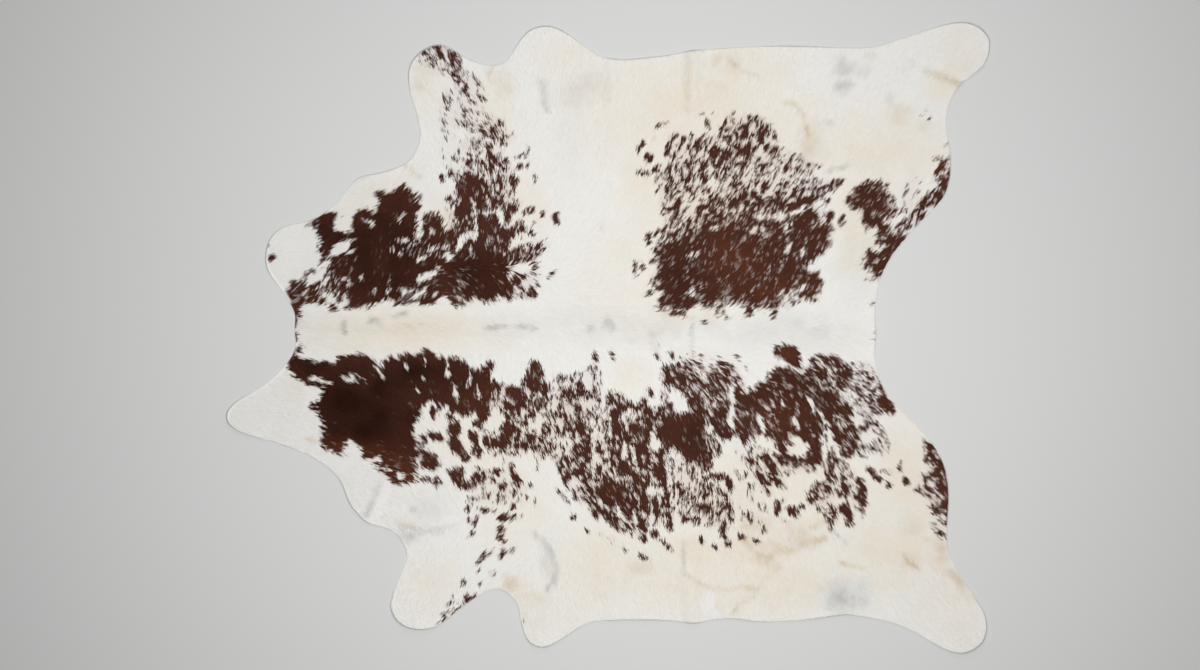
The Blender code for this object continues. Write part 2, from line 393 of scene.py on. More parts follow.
# The way the hair lies at places on the hide, in centimetres and in degrees from +X
COMBS = table(
    "x y heading",
    (-90, 3, 0), (-60, 3, 0), (-30, 3, 0), (0, 3, 0), (30, 2, 0), (60, 1, 0), (78, 2, 0),
    # far side
    (-97, 26, 25), (-84, 32, 25), (-86, 15, 58), (-72, 40, 30), (-68, 26, 78), (-68, 13, 62),
    (-60, 42, 45), (-56, 24, 62), (-55, 12, 55), (-36, 13, -55), (-46, 15, -62), (-38, 18, -58),
    (-30, 16, -68), (-40, 27, 100), (-30, 26, 95), (-24, 35, 68), (-36, 36, 80), (-44, 44, 95),
    (-35, 52, 100), (-26, 56, 65), (-37, 62, 128), (-46, 64, 122), (-43, 72, 118), (-47, 81, 115),
    (-54, 84, 120), (-18, 88, 90), (-15, 60, 75), (-10, 35, 55), (5, 20, 60), (5, 50, 70),
    (20, 15, 45), (25, 30, 60), (25, 55, 72), (42, 20, 55), (40, 45, 63), (42, 64, 70),
    (55, 47, 58), (60, 30, 52), (62, 15, 66), (20, 8, 42), (32, 9, 48), (43, 9, 50), (54, 10, 55),
    (64, 10, 60), (28, 20, 60), (50, 20, 70), (20, 80, 85), (50, 80, 75), (80, 42, 50),
    (80, 24, 48), (93, 38, 62), (100, 48, 56), (75, 70, 60), (95, 68, 50), (107, 87, 40),
    (72, 12, 35),
    # near side
    (-108, -24, -8), (-92, -11, -15), (-82, -34, -28), (-70, -37, -15), (-75, -13, -45),
    (-75, -24, -30), (-66, -7, -72), (-57, -8, -80), (-62, -26, -50), (-66, -41, -15),
    (-48, -9, -84), (-38, -11, -86), (-45, -30, -60), (-53, -40, -50), (-22, -12, -82),
    (-28, -8, -84), (-30, -24, -80), (-18, -26, -75), (-28, -43, -60), (-40, -45, -75),
    (-32, -54, -140), (-41, -57, -115), (-38, -68, -130), (-32, -65, -142), (-44, -75, -100),
    (-48, -83, -130), (-60, -78, -110), (-70, -50, -60), (-20, -88, -90), (-12, -60, -70),
    (-10, -46, -55), (0, -28, -88), (3, -40, -78), (5, -55, -58), (12, -35, -66), (10, -22, -88),
    (15, -50, -90), (15, -5, -80), (-8, -9, -92), (30, -14, -62), (24, -30, -76), (25, -46, -102),
    (31, -53, -110), (36, -43, -75), (36, -60, -65), (45, -18, -55), (47, -38, -64), (55, -22, -68),
    (55, -38, -45), (55, -55, -76), (66, -8, -66), (54, -4, -58), (68, -27, -66), (72, -45, -62),
    (76, -34, -52), (80, -12, -40), (84, -20, -40), (82, -42, -45), (98, -40, -50), (99, -56, -32),
    (30, -78, -85), (60, -75, -75), (85, -70, -60), (107, -85, -55),
)


def heading_at(x, y):
    """Way the hair lies: the combs' headings as unit arrows, averaged by a weight of
    1 / (distance^2 + core^2)^1.5, so each comb rules its own neighbourhood."""
    east, north = np.zeros_like(x), np.zeros_like(x)
    for comb in COMBS:
        weight = ((x - comb.x * CM) ** 2 + (y - comb.y * CM) ** 2 + (COMB_CORE * CM) ** 2) ** -1.5
        east += weight * np.cos(np.radians(comb.heading))
        north += weight * np.sin(np.radians(comb.heading))
    size = np.hypot(east, north) + 1e-9
    return east / size, north / size


# The brown patches: the share of brown locks in each, the width over which it fades out either
# side of its outline, and the outline's points, in centimetres
PATCHES = table(
    "name brown fade points",
    ("far shoulder", 1, 0.7, (
        (-90.4, 35.4), (-86, 38.4), (-80.8, 37.2), (-83, 34), (-81, 32), (-78, 32), (-77.5, 36.5),
        (-74.5, 39), (-69.8, 38.6), (-69.7, 42.5), (-66, 44), (-62, 46), (-58.8, 44), (-56, 40),
        (-57.6, 36.5), (-58, 31), (-56.5, 27.5), (-57, 25), (-55, 22), (-57, 18), (-58, 14),
        (-61, 10.6), (-66, 11.6), (-72, 9.4), (-78, 8.7), (-80.5, 14), (-82, 18), (-84.5, 23),
        (-87.8, 26.5), (-87.4, 30), (-88.8, 32.3))),
    ("far neck", 0.9, 0.8, (
        (-97.3, 13), (-96, 17.5), (-93, 16.8), (-92, 20), (-87.5, 20), (-84, 22.5), (-80, 19),
        (-80, 11.5), (-85, 10), (-90, 10.5), (-93.5, 8.5), (-95.8, 9))),
    ("withers", 0.97, 0.8, (
        (-57.5, 25.5), (-56.3, 30), (-56, 36.5), (-53.5, 38.3), (-50.5, 36.3), (-49, 33), (-45, 33),
        (-42, 31), (-38, 30), (-34, 28.5), (-31.5, 26), (-29.5, 22), (-29.5, 17), (-28, 13),
        (-30, 12.8), (-36, 11), (-41, 12.2), (-44, 9.6), (-47, 10), (-49.5, 12.5), (-52, 10.8),
        (-55, 9.8), (-60, 10.5), (-58, 16), (-56, 20))),
    ("withers column", 0.8, 0.8, (
        (-49, 32), (-48, 36), (-46.5, 41), (-46.5, 47), (-48.5, 50), (-44, 51), (-36, 51.5),
        (-30, 51), (-27, 47), (-29, 42), (-26, 40.5), (-27, 36), (-25, 33), (-28, 30), (-30, 27),
        (-36, 28), (-42, 31))),
    ("behind the withers", 0.62, 0.8, (
        (-30, 27), (-25, 28.5), (-20, 30), (-18.5, 27.5), (-21, 23), (-21.5, 14), (-24.5, 12.5),
        (-29, 13), (-30, 20))),
    ("column top", 0.36, 1, (
        (-45, 50), (-45, 58), (-42, 62), (-41, 65), (-37, 67), (-32, 65.5), (-29, 60.5), (-31, 55),
        (-28, 50.5), (-36, 49.5))),
    ("column's thin side", 0.22, 1, ((-50.5, 52), (-51, 60), (-46, 61), (-44, 55), (-45, 51))),
    ("foreleg specks", 0.34, 1, (
        (-50, 62), (-50.5, 72), (-47, 75.5), (-41, 77), (-37, 73), (-37, 69), (-40, 64),
        (-45, 63))),
    ("foreleg tip", 0.52, 0.8, (
        (-58, 83.5), (-56, 87.5), (-50, 89), (-45, 86.5), (-43.6, 82.5), (-40, 79), (-38, 76),
        (-42, 75.2), (-46, 75.6), (-48.5, 79), (-53, 80), (-56, 82))),
    ("far flank's upper part", 0.82, 1.6, (
        (17, 30), (20, 35), (27, 40), (30, 43), (36, 45), (46, 44.5), (50, 42.5), (57, 42),
        (63, 40), (66, 37), (64, 28), (50, 24), (30, 24))),
    ("far flank", 0.96, 1.2, (
        (18, 29.5), (22, 30.5), (27, 33), (33, 36), (40, 37), (46, 37), (52, 38), (57, 38.5),
        (63, 38), (66, 34), (68.4, 32), (66.5, 27.5), (62, 22.8), (61.5, 21), (63, 19.8),
        (64.7, 17), (63.5, 12), (58, 11.5), (56, 14), (53.5, 11), (50, 8.7), (46, 8.7), (42, 9.5),
        (36, 10), (30, 9), (25, 8.8), (20, 7.8), (14.5, 9.3), (16, 13), (13, 16.5), (14.3, 20),
        (14, 24), (14.5, 28))),
    ("far belly specks", 0.61, 1, (
        (16, 30), (17, 36), (15, 42), (15, 49), (18, 53), (18, 59), (24, 60.5), (28, 61.5),
        (33, 62), (36, 64.5), (42, 67.3), (47, 66.5), (49.5, 63.5), (51.5, 59), (52.5, 56.5),
        (58, 55), (61.5, 52), (63.5, 48), (71, 47.5), (68, 44.5), (63, 41), (58, 39), (50, 39),
        (40, 38), (28, 37))),
    ("far rump", 0.96, 0.7, (
        (71.3, 40), (73, 44), (77, 47), (79, 48), (80.5, 46.8), (82.5, 47.8), (84, 46.3),
        (84, 44.5), (86.6, 41.3), (86, 39), (84, 38), (84.5, 34), (83, 31), (81, 33.5), (80, 32.6),
        (77.2, 33), (76.3, 36), (77, 37.7), (75, 38.5))),
    ("far rump's rim", 0.93, 0.7, (
        (83, 33.3), (86, 32.4), (89.5, 31.5), (92, 32), (87, 25), (84, 20), (83, 17.5),
        (79.6, 17.3), (79, 20), (76.8, 22), (77, 24.8), (79.5, 27.7), (81, 29), (80.3, 31))),
    ("far rump specks", 0.72, 0.8, (
        (86, 33), (89, 36), (92.5, 38.5), (94, 42.5), (97.5, 41.5), (98, 38), (93, 33),
        (89, 30.5))),
    ("far rump's thin specks", 0.3, 1, (
        (88.5, 38), (89, 45), (91, 48), (94, 47), (93.5, 42), (91, 38))),
    ("far rump's edge", 0.86, 0.7, (
        (95.5, 41), (96.5, 44), (100, 46), (98.3, 50), (101, 53.5), (104, 53), (104.5, 48),
        (102.5, 43), (99.5, 39.5))),
    ("near neck and shoulder", 1, 0.7, (
        (-95, -1.5), (-93.6, -6), (-89, -6.8), (-85.3, -7.4), (-82.3, -7.4), (-81.5, -5.4),
        (-77, -5), (-72.5, -5.3), (-69, -8), (-67.2, -6), (-62, -5.1), (-58, -4.6), (-55.5, -3.4),
        (-53.3, -3.8), (-52, -5.3), (-48, -6.2), (-43, -6.6), (-41.5, -9.5), (-38, -8.3),
        (-34, -6.8), (-35.5, -12), (-33, -14.5), (-35.5, -18), (-36, -23), (-38.5, -25.3),
        (-41, -23), (-45, -24), (-47, -22), (-50.5, -19.7), (-55, -19.6), (-57, -23), (-59.3, -26),
        (-58.5, -30), (-57.5, -32), (-58.3, -36), (-58, -41), (-61, -44.3), (-65.5, -43.8),
        (-69.7, -40), (-70.8, -36.6), (-73.5, -36.4), (-76, -32), (-79, -31.5), (-79, -35.3),
        (-84, -34.5), (-87.6, -32), (-85.8, -27), (-87.7, -23.3), (-90.2, -20.6), (-88, -18.5),
        (-87, -15.3), (-90.5, -14.5), (-95, -11.5), (-97.3, -8), (-96.5, -5))),
    ("near girth specks", 0.72, 0.9, (
        (-36, -13), (-31, -14), (-29.5, -18), (-27, -15), (-25, -11), (-24, -8), (-21.8, -7.6),
        (-20, -9.5), (-18, -14), (-14, -16), (-9, -14), (-5, -16), (-2.5, -18), (-1, -21),
        (0.5, -28), (-5, -31), (-8, -36), (-15, -38), (-18, -35), (-20, -37), (-24, -34.5),
        (-27, -35.5), (-30, -35.5), (-36, -34), (-37, -29), (-31.5, -27), (-31, -23), (-36, -20))),
    ("behind the near girth", 0.42, 0.9, (
        (-17, -11), (-12, -10.5), (-7, -9), (-4.5, -5), (-2, -9), (-3, -18), (-9, -17),
        (-15, -17))),
    ("near elbow specks", 0.28, 0.9, (
        (-40, -37.5), (-31, -36.5), (-26, -38), (-25, -47), (-29, -50), (-42, -50), (-41, -43))),
    ("near flank, front", 0.78, 0.9, (
        (-15.5, -38.5), (-12, -36.5), (-7, -31), (-1, -30), (3, -31), (5, -36), (8.5, -40),
        (11, -44), (10.5, -52), (11, -59.5), (8.5, -60), (5, -58.5), (2, -57.5), (-2, -54.5),
        (-8, -50), (-12, -45), (-14, -43))),
    ("near flank", 0.9, 0.9, (
        (-0.8, -17), (4, -16.8), (6.5, -18.5), (9.5, -19.5), (11, -16.8), (13, -22), (17, -20),
        (20, -23), (24, -22), (28, -21), (30, -26), (31.5, -30), (32, -35), (29.5, -40),
        (26, -38.5), (21, -34), (18, -36), (18, -44), (19.5, -52), (19.7, -58.5), (16, -54),
        (13, -54), (11, -61), (8, -52), (4, -41), (-0.5, -35), (1, -28), (0.5, -23))),
    ("near loin's loose specks", 0.2, 1, (
        (16.5, -5.5), (20, -3.8), (27, -4), (33, -4.6), (38, -5), (40.5, -8), (38, -11), (30, -11),
        (24, -8.5), (18, -9.5))),
    ("near loin", 0.84, 0.9, (
        (16.5, -9), (20, -7.4), (23, -5.8), (26.5, -6.3), (30, -8.6), (33, -6.4), (36.5, -7.4),
        (40, -10.8), (41, -14), (41, -20), (38, -25), (36, -30), (33, -30), (30, -25), (25, -22),
        (22, -16.5), (18, -15.5), (16, -13))),
    ("near thigh", 0.95, 0.8, (
        (35.5, -17.5), (42, -15.5), (46, -12.5), (50, -9.7), (51, -7.7), (55, -9.3), (58, -10.3),
        (60, -8), (62.7, -4.4), (66, -6.2), (69, -5), (72, -8), (74.5, -11), (72.5, -14),
        (70.5, -18.5), (74.5, -21), (76.5, -27), (74.5, -33), (72, -36), (69.5, -33), (66.5, -26.5),
        (64.5, -30), (64.5, -37), (60, -38.3), (55, -36.5), (51.5, -34.5), (49.5, -31), (47, -29.5),
        (44, -29.5), (41.5, -32.5), (39, -30), (35.5, -30), (36, -24))),
    ("near hip", 1.08, 0.5, (
        (49.9, -4.8), (52.5, -0.8), (54.2, -1.6), (56.4, -1.8), (57.8, -3.5), (58.2, -8),
        (56.6, -9.6), (53.6, -7.6), (52.6, -5.9))),
    ("near stifle", 0.48, 1, (
        (19, -35.5), (27, -39), (31, -43), (36.5, -46), (37.8, -50), (37.5, -56.5), (32, -57),
        (24, -55), (18.5, -50), (18, -42))),
    ("near belly's loose specks", 0.17, 1, (
        (37.5, -31), (42, -32), (43.5, -41), (48, -50), (50, -57), (43, -60), (39.5, -55),
        (37.5, -48), (38.5, -40))),
    ("near belly specks", 0.52, 0.9, (
        (42.5, -35.5), (44, -32.7), (48, -33.5), (52, -35), (55, -37.5), (60, -38), (62, -40.5),
        (56, -41), (53.5, -42), (55, -46), (50.5, -44.5), (49, -48.5), (46, -45.5), (43, -41))),
    ("near hock specks", 0.62, 0.9, (
        (62, -39.5), (65, -36), (70.5, -36), (75, -41.5), (78.3, -44.5), (77.3, -49), (79, -51),
        (76, -52.5), (72.5, -50), (74.8, -56.3), (72, -56), (69.8, -52), (68, -56.3), (65.8, -54),
        (62.5, -49.5), (60, -48.5), (60.8, -45), (64.5, -42))),
    ("near rump specks", 0.6, 0.9, (
        (74, -7), (77, -6.6), (80.5, -10), (82, -14), (85, -18), (86.5, -20.5), (85, -23.3),
        (82, -22.6), (81.5, -25), (84.5, -29), (84, -33.3), (79.5, -34.3), (76, -33), (75, -27),
        (76, -22.5), (72, -17), (75, -12))),
    ("near rump's rim", 0.97, 0.6, (
        (80.2, -10.5), (81.5, -14.5), (82, -19.5), (83, -21.5), (85.5, -23), (87, -20.8),
        (84.5, -17.5), (82.3, -13), (80.8, -9.5))),
    ("near rump's edge", 0.93, 0.6, (
        (95.7, -30.6), (98, -32), (101, -36), (103, -41), (104, -47), (104, -53.5), (101, -53.8),
        (98.8, -52.3), (99.8, -48), (98, -43.5), (97, -39), (95.4, -34.5))),
    ("near rump's edge specks", 0.5, 0.7, (
        (95, -41), (98, -43), (99.5, -49), (99, -53), (97, -51), (94, -45))),
    ("near rump's last specks", 0.5, 0.7, (
        (98, -54), (103, -54.5), (102.8, -58), (101, -61.3), (98, -58.5))),
)

# Bare or dense places inside and beside the patches: centre, half length, half width, turn from
# +X, and the share of brown locks there
DABS = table(
    "x y long wide turn brown",
    # far shoulder and withers
    (-61, 27, 5, 2.6, 15, 0.86), (-81.5, 17.5, 4.6, 4, 30, 0.89), (-79.5, 23.6, 4, 2, 20, 0.95),
    (-51, 26.5, 3.6, 3.6, 0, 0.91), (-44.5, 17.5, 5.5, 3, -30, 0.95),
    (-62, 13.8, 6.5, 2.4, 0, 0.87), (-80.2, 34.6, 2.4, 2.6, 0, 0), (-81, 27, 4.2, 1.4, 33, 0.04),
    (-77.6, 26, 1.4, 0.5, 20, 0.3), (-72.4, 34.8, 2.3, 0.5, -20, 0.1),
    (-62.6, 36.4, 0.4, 1.5, -10, 0.3), (-87, 23.3, 1, 1.2, 0, 0.9),
    (-85.2, 17.8, 2.6, 0.6, 55, 0.15), (-63.2, 25.3, 1.2, 0.3, 40, 0.4),
    (-61.8, 29.6, 2.2, 0.5, 15, 0.3), (-54.8, 18.4, 3.2, 1, 20, 0.05), (-57, 13.3, 3, 0.7, 35, 0.1),
    (-53.4, 12.4, 1.6, 0.5, 35, 0.2), (-51.5, 21.6, 0.5, 1.8, 15, 0.25),
    (-44.8, 28.5, 1.2, 2.2, -30, 0), (-48.4, 24.4, 1.2, 1.8, 30, 0.05),
    (-42, 26.5, 0.5, 1.6, 15, 0.2), (-41, 31, 3.2, 0.9, 10, 0.2), (-48.7, 35, 1.3, 2.2, 0, 0.3),
    (-40.3, 37, 0.4, 6.6, 5, 0.2), (-32.6, 36.3, 1.4, 2.2, 0, 0), (-36.5, 37.8, 0.8, 0.6, 0, 0.1),
    (-42.6, 45.5, 3.3, 4.6, 0, 0.97), (-42.8, 39, 2.4, 2.6, 0, 0.95), (-36.5, 42.5, 2.8, 3, 0, 0.9),
    (-36.2, 33.5, 2.8, 4, 0, 0.97), (-48, 41.8, 1.6, 0.8, 20, 0.6), (-48.3, 38.6, 1.3, 2.2, 0, 0.5),
    (-50, 48, 0.9, 1.4, 0, 1), (-47, 49.3, 1.2, 0.7, -35, 1), (-36.5, 47.5, 0.6, 1.2, 0, 0.4),
    (-34, 48.5, 0.6, 1.8, 0, 0.3), (-30, 37.8, 2.4, 1.3, 60, 1), (-27.3, 36.5, 2, 1.5, 50, 0.1),
    (-23.6, 38.2, 1.2, 1.5, -60, 0.9), (-19.9, 37.4, 0.5, 1.1, 10, 1),
    (-16.2, 35.9, 1.3, 1.6, 0, 1), (-26.5, 34.5, 1, 1.6, 40, 0.8), (-22.5, 34, 0.5, 2, -35, 0.55),
    (-23.3, 31.3, 1, 0.9, 0, 0.8), (-26.6, 25.5, 3.6, 1.4, -8, 0.95), (-26, 21.2, 3, 1.6, 10, 0.06),
    (-26.3, 17.8, 0.8, 1.6, -50, 0.9), (-23, 13.6, 1.1, 1.1, 0, 1),
    (-17.3, 19.7, 1.4, 0.7, 40, 0.95), (-27, 30.5, 2, 1, 0, 0.3), (-95.2, 16.2, 1.3, 1.2, 0, 1),
    (-90.6, 12.4, 3.2, 2, 5, 0.93), (-84.4, 12.2, 2.2, 1.1, -40, 0.12),
    (-63, 10.9, 2.4, 0.9, 0, 0.97), (-68.6, 43.2, 1.9, 1.3, 0, 1), (-80.6, 12.6, 1, 0.6, 20, 0.25),
    (-29.8, 12.6, 1.2, 1.5, 0, 0.95), (-74.6, 18.5, 0.3, 1, -20, 0.45),
    (-70.8, 13.4, 0.3, 0.9, -15, 0.45), (-66.2, 17.6, 0.4, 1.2, -20, 0.4),
    (-77.5, 22.5, 0.3, 1.1, -15, 0.4), (-31.8, 28.5, 2.6, 2.2, 0, 0.96),
    (-56.6, 23.9, 1.3, 0.5, 30, 0.3), (-53.6, 26.8, 1.2, 0.6, 30, 0.2),
    (-61.2, 13.6, 1.2, 0.4, 50, 0.3), (-66.4, 13.8, 1.3, 0.3, 40, 0.3),
    (-54.2, 11.2, 2.6, 1.2, 0, 0.9), (-46, 12, 1.4, 2, 0, 0.92), (-53.1, 32.3, 0.5, 0.8, 0, 0.2),
    # top of the column and the foreleg
    (-37, 62.3, 3.6, 0.7, -40, 0.95), (-35.5, 66.9, 1.4, 0.5, -30, 0.6),
    (-33.7, 62.8, 2, 1.1, -10, 0.95), (-32.6, 64.6, 1.5, 0.9, 20, 0.85),
    (-41.5, 58.5, 3.8, 1.6, 10, 0.6), (-35.8, 56.5, 1.2, 2.6, 10, 0.85),
    (-31.9, 58.8, 1, 1.2, 0, 0.95), (-35, 52.9, 1.4, 1.8, 0, 0.95), (-39, 53, 1.6, 1.2, 0, 0.9),
    (-42.3, 52.6, 1.1, 1.2, 0, 0.9), (-32.5, 52.6, 0.8, 0.9, 0, 0.9),
    (-27.2, 54.8, 1, 0.6, 0, 0.95), (-25, 55.7, 0.8, 0.7, 30, 0.95),
    (-24.3, 57.4, 0.4, 0.9, 0, 0.8), (-26.6, 51.8, 1, 1.3, -40, 0.9),
    (-24.3, 52.2, 0.6, 1, 0, 0.95), (-22.3, 48.5, 0.4, 0.8, 0, 0.9),
    (-22.3, 46.6, 0.4, 0.6, 0, 0.9), (-28.7, 61.4, 1.6, 0.4, -30, 0.5),
    (-47, 54.2, 0.6, 0.6, 0, 0.9), (-43.2, 68.8, 0.5, 2.4, 30, 0.85), (-49, 67.2, 0.5, 0.9, 0, 0.9),
    (-41.6, 68.6, 1.2, 0.6, -30, 0.8), (-38.2, 72.4, 0.5, 0.8, 20, 0.95),
    (-39.5, 77.2, 0.5, 1.8, 30, 0.9), (-45.8, 83.8, 1.7, 3, 10, 0.86),
    (-50.5, 86.5, 1.6, 1.6, 0, 0.8), (-52.5, 82, 2.6, 1.4, 60, 0.45),
    (-45.6, 78.6, 1.2, 2.6, 15, 0.8), (-43.2, 76.6, 0.6, 1.8, 45, 0.9),
    (-59.2, 82.2, 0.4, 0.3, 0, 0.9), (-101.6, 24, 1.4, 0.9, 25, 1), (-94.2, 8.5, 1.7, 2.6, 0, 1),
    (-94.4, 4.6, 1, 2.2, 0, 0.93), (-94.1, 0.2, 1.1, 1.7, 0, 0.95),
    (-88.6, 18.6, 3.2, 1.8, 30, 0.05), (-83.2, 8.7, 1.3, 0.8, -20, 1), (-77.4, 9, 2.4, 0.7, 8, 1),
    (-89.5, 19.8, 0.7, 0.7, 0, 0.9), (-93.4, -2.9, 0.9, 1.4, 0, 0.95),
    (-102.9, 28.2, 0.4, 0.8, 0, 0.9),
    # far flank and belly
    (51.4, 36.6, 2.4, 1.1, 10, 0.25), (46.5, 36.6, 1.5, 1, 20, 0.2),
    (54.8, 32.8, 1.4, 1.7, 0, 0.35), (33.8, 33.6, 3, 0.7, 12, 0.4), (30, 44, 3, 3, 0, 0.55),
    (25.5, 41, 2.2, 2.6, 30, 0.2), (31.8, 47, 1.8, 1.4, 40, 0.15), (34.2, 58.2, 2.2, 1, 12, 0.15),
    (22.5, 36.8, 1.4, 2.6, 0, 0.3), (41.4, 61.6, 1.5, 3, -20, 0.8),
    (46.5, 62.4, 2.8, 1.8, 35, 0.85), (44.6, 65.6, 2.2, 1, -20, 0.9),
    (36.2, 63.4, 2, 2.4, -30, 0.85), (39, 55, 5, 3.6, 20, 0.86), (33, 54.5, 2.2, 2.8, 0, 0.9),
    (27, 57.6, 1.3, 2.6, -10, 0.8), (45.5, 56, 0.9, 1.8, -10, 0.4), (50, 56, 2.2, 2, 40, 0.8),
    (47, 47, 6.5, 3.6, 25, 0.55), (57, 53, 2.4, 1.4, 40, 0.5), (52, 52, 3, 1.5, 20, 0.35),
    (50, 40.9, 5, 0.8, 5, 0.95), (60, 41.6, 3.5, 1, 10, 0.97), (58, 44.5, 4, 1.5, 20, 0.75),
    (68.5, 46.6, 2, 1, 15, 0.9), (58.4, 38.8, 3, 1.1, 20, 0.1), (12, 54.3, 1.1, 1.7, -10, 0.97),
    (9.1, 50.3, 1.1, 0.8, 0, 0.97), (11.4, 50, 1.2, 0.9, 10, 0.97), (14.5, 51, 1.4, 0.8, 25, 0.95),
    (10, 58.3, 0.8, 2.1, -30, 0.9), (17, 63.9, 2, 0.5, 5, 0.4), (19.6, 60.8, 1.4, 1.2, 30, 0.8),
    (11.8, 31, 1.3, 1, 0, 0.95), (12.3, 29.3, 0.6, 1.3, 0, 0.95), (15.2, 32, 2.2, 0.6, 15, 0.95),
    (13.6, 26.2, 0.8, 0.9, 0, 0.8), (13.4, 23, 1.5, 0.9, 0, 0.97), (8.3, 20.6, 0.8, 2.1, 5, 1),
    (10.7, 20.9, 0.9, 0.6, 0, 0.95), (11.8, 13.4, 1.4, 0.8, 20, 0.95), (13.6, 16.6, 1, 1.4, 0, 0.8),
    (67, 36, 1.2, 2.4, -20, 0.95), (70.7, 34.9, 1.1, 2.3, -10, 0.95), (66.3, 41.2, 0.8, 1, 0, 0.95),
    (66.4, 28.4, 0.8, 1.6, -25, 0.9), (28.8, 4.8, 0.8, 0.6, 30, 0.8),
    (20, 7.6, 4.4, 1.2, -14, 0.72), (23, 6.7, 1, 0.8, 0, 0.95), (33.8, 8.2, 1.3, 2.3, -40, 0.75),
    (36.5, 5.7, 1.2, 0.6, 15, 0.8), (42.3, 7.6, 1.2, 1.6, 0, 0.8), (50, 7.2, 2, 0.8, 45, 0.85),
    (54.5, 10.5, 2, 1.2, 40, 0.7), (30, 64, 0.7, 0.7, 0, 0.6), (37, 67, 2, 0.6, 30, 0.6),
    (62.8, 52.2, 1.8, 0.6, -25, 0.7), (28.5, 15.3, 1.6, 0.5, 40, 0.5), (25, 13.8, 1.2, 1, 0, 0.45),
    (52.6, 14, 0.7, 0.8, 0, 0.1), (58, 15, 1.6, 0.7, 45, 0.2), (25.6, 25, 1.8, 0.7, 0, 0.4),
    (58.8, 25.5, 0.5, 1.5, -15, 0.2), (54, 26, 0.6, 2.4, -20, 0.35), (61.6, 21.4, 1.3, 1.1, 0, 0),
    (44.6, 32.4, 3, 0.8, 12, 0.8), (33.6, 41.4, 1.6, 1.8, 20, 1), (16.2, 64.4, 1.7, 0.6, 20, 0.9),
    (14.8, 47.8, 0.9, 1.4, 0, 0.9), (17.8, 56.6, 1, 1.2, 0, 0.9), (16.4, 40.6, 0.7, 1.2, 0, 0.9),
    (29.8, 65.2, 0.7, 0.9, 0, 0.85), (28.5, 67.6, 0.5, 0.4, 0, 0.9), (31.2, 67.5, 0.5, 0.4, 0, 0.9),
    (13.8, 60.2, 0.6, 0.9, 0, 0.8),
    # far rump
    (83.2, 30, 1.1, 0.7, 30, 0.4), (82, 26.8, 2.4, 1.1, 15, 0.1), (90.5, 39.5, 2.2, 2.2, 0, 0.5),
    (89.4, 34, 1.4, 2.6, -30, 0.9), (102.3, 58.4, 0.8, 0.5, 30, 0.9),
    (99.5, 54, 2.2, 1.2, 30, 0.45), (94, 67, 0.9, 0.4, 60, 0.45), (95.8, 68.6, 0.8, 0.3, 45, 0.4),
    (97, 66.4, 0.8, 0.4, 45, 0.85), (79.8, 10.3, 1, 0.5, 55, 0.75), (81, 1.8, 0.6, 0.6, 0, 0.9),
    (80.6, -0.6, 0.3, 0.8, 0, 0.9), (78.4, 17.8, 1.4, 0.5, 45, 0.7), (85.4, 38.2, 2, 2.2, 0, 0.95),
    (87, 29.6, 2.8, 1.3, 45, 1),
    # near neck, shoulder and girth
    (-88.2, -12.6, 2.6, 0.6, -12, 0.15), (-84.8, -13.6, 1.4, 0.5, -20, 0.4),
    (-78.2, -12.6, 2, 0.6, -10, 0.2), (-74.4, -12.4, 3, 0.4, -47, 0.5),
    (-69.6, -9.9, 2.2, 0.4, -50, 0.3), (-78, -34, 2.4, 1.2, 10, 0),
    (-63.3, -41.6, 1.6, 1, -30, 0.1), (-66.8, -39.5, 2, 0.5, -10, 0.3),
    (-61.3, -7.8, 0.5, 1.8, 20, 0.15), (-55.2, -6.8, 0.5, 1.5, 0, 0.1),
    (-56.2, -11.6, 0.5, 0.7, 0, 0.15), (-57.6, -15.8, 0.5, 1.4, 10, 0.3),
    (-48.8, -9.5, 0.5, 1.8, 5, 0.15), (-46.3, -17, 0.6, 2.6, 15, 0.15),
    (-42.3, -13, 0.6, 2, -10, 0.3), (-39.4, -17, 0.4, 2, 0, 0.25), (-53, -22.2, 1.2, 1.9, 15, 1),
    (-50.8, -21.5, 0.5, 2.2, 0, 0.7), (-52, -30, 2.4, 1.5, -15, 1),
    (-54.5, -28.5, 0.7, 0.4, 0, 0.8), (-56.3, -31, 1.4, 2, 0, 0.85), (-49, -28.8, 0.6, 0.8, 0, 0.8),
    (-54.3, -36.8, 3.6, 2.8, -15, 0.97), (-57.5, -34, 1.2, 1.5, 0, 0.8),
    (-54.8, -42.6, 2.2, 1.2, -10, 0.9), (-51.8, -43.3, 1.8, 1.6, 0, 0.9),
    (-45.6, -41, 2.4, 2.7, 0, 1), (-43.2, -44.5, 3.4, 1.5, 0, 0.97),
    (-40.2, -42.5, 1.3, 1.8, 0, 0.95), (-46.6, -27.5, 2.2, 2.7, 0, 1),
    (-45.6, -32.9, 4.4, 2.2, -50, 1), (-43.2, -36, 1.6, 0.9, 0, 0.95),
    (-40.6, -30, 1.4, 2.6, 15, 0.9), (-39.6, -34, 1.6, 2.3, 20, 0.9),
    (-37.5, -29.5, 0.5, 2.6, 0, 0.6), (-47.8, -22.8, 0.9, 2.4, 0, 0.85),
    (-50.8, -20, 0.8, 1, 0, 0.7), (-32, -31.5, 3.4, 2, -20, 0.9), (-22.4, -12, 2.4, 4.8, 0, 0.97),
    (-29, -20, 3.5, 2, 10, 0.93), (-34, -24, 0.9, 3, -10, 0.1), (-22, -25.5, 2.4, 2.4, 0, 0.15),
    (-26, -24.5, 1.6, 3.6, 10, 0.5), (-30, -26, 1.2, 3.5, 0, 0.9), (-24.5, -31, 3, 1.2, -30, 0.75),
    (-12, -23.5, 1.6, 4, 0, 0.85), (-16.6, -22.5, 2.2, 3.4, 20, 0.55),
    (-8.4, -24.5, 1.4, 4.2, 10, 0.88), (-14, -15.5, 2.5, 1.3, -10, 0.85),
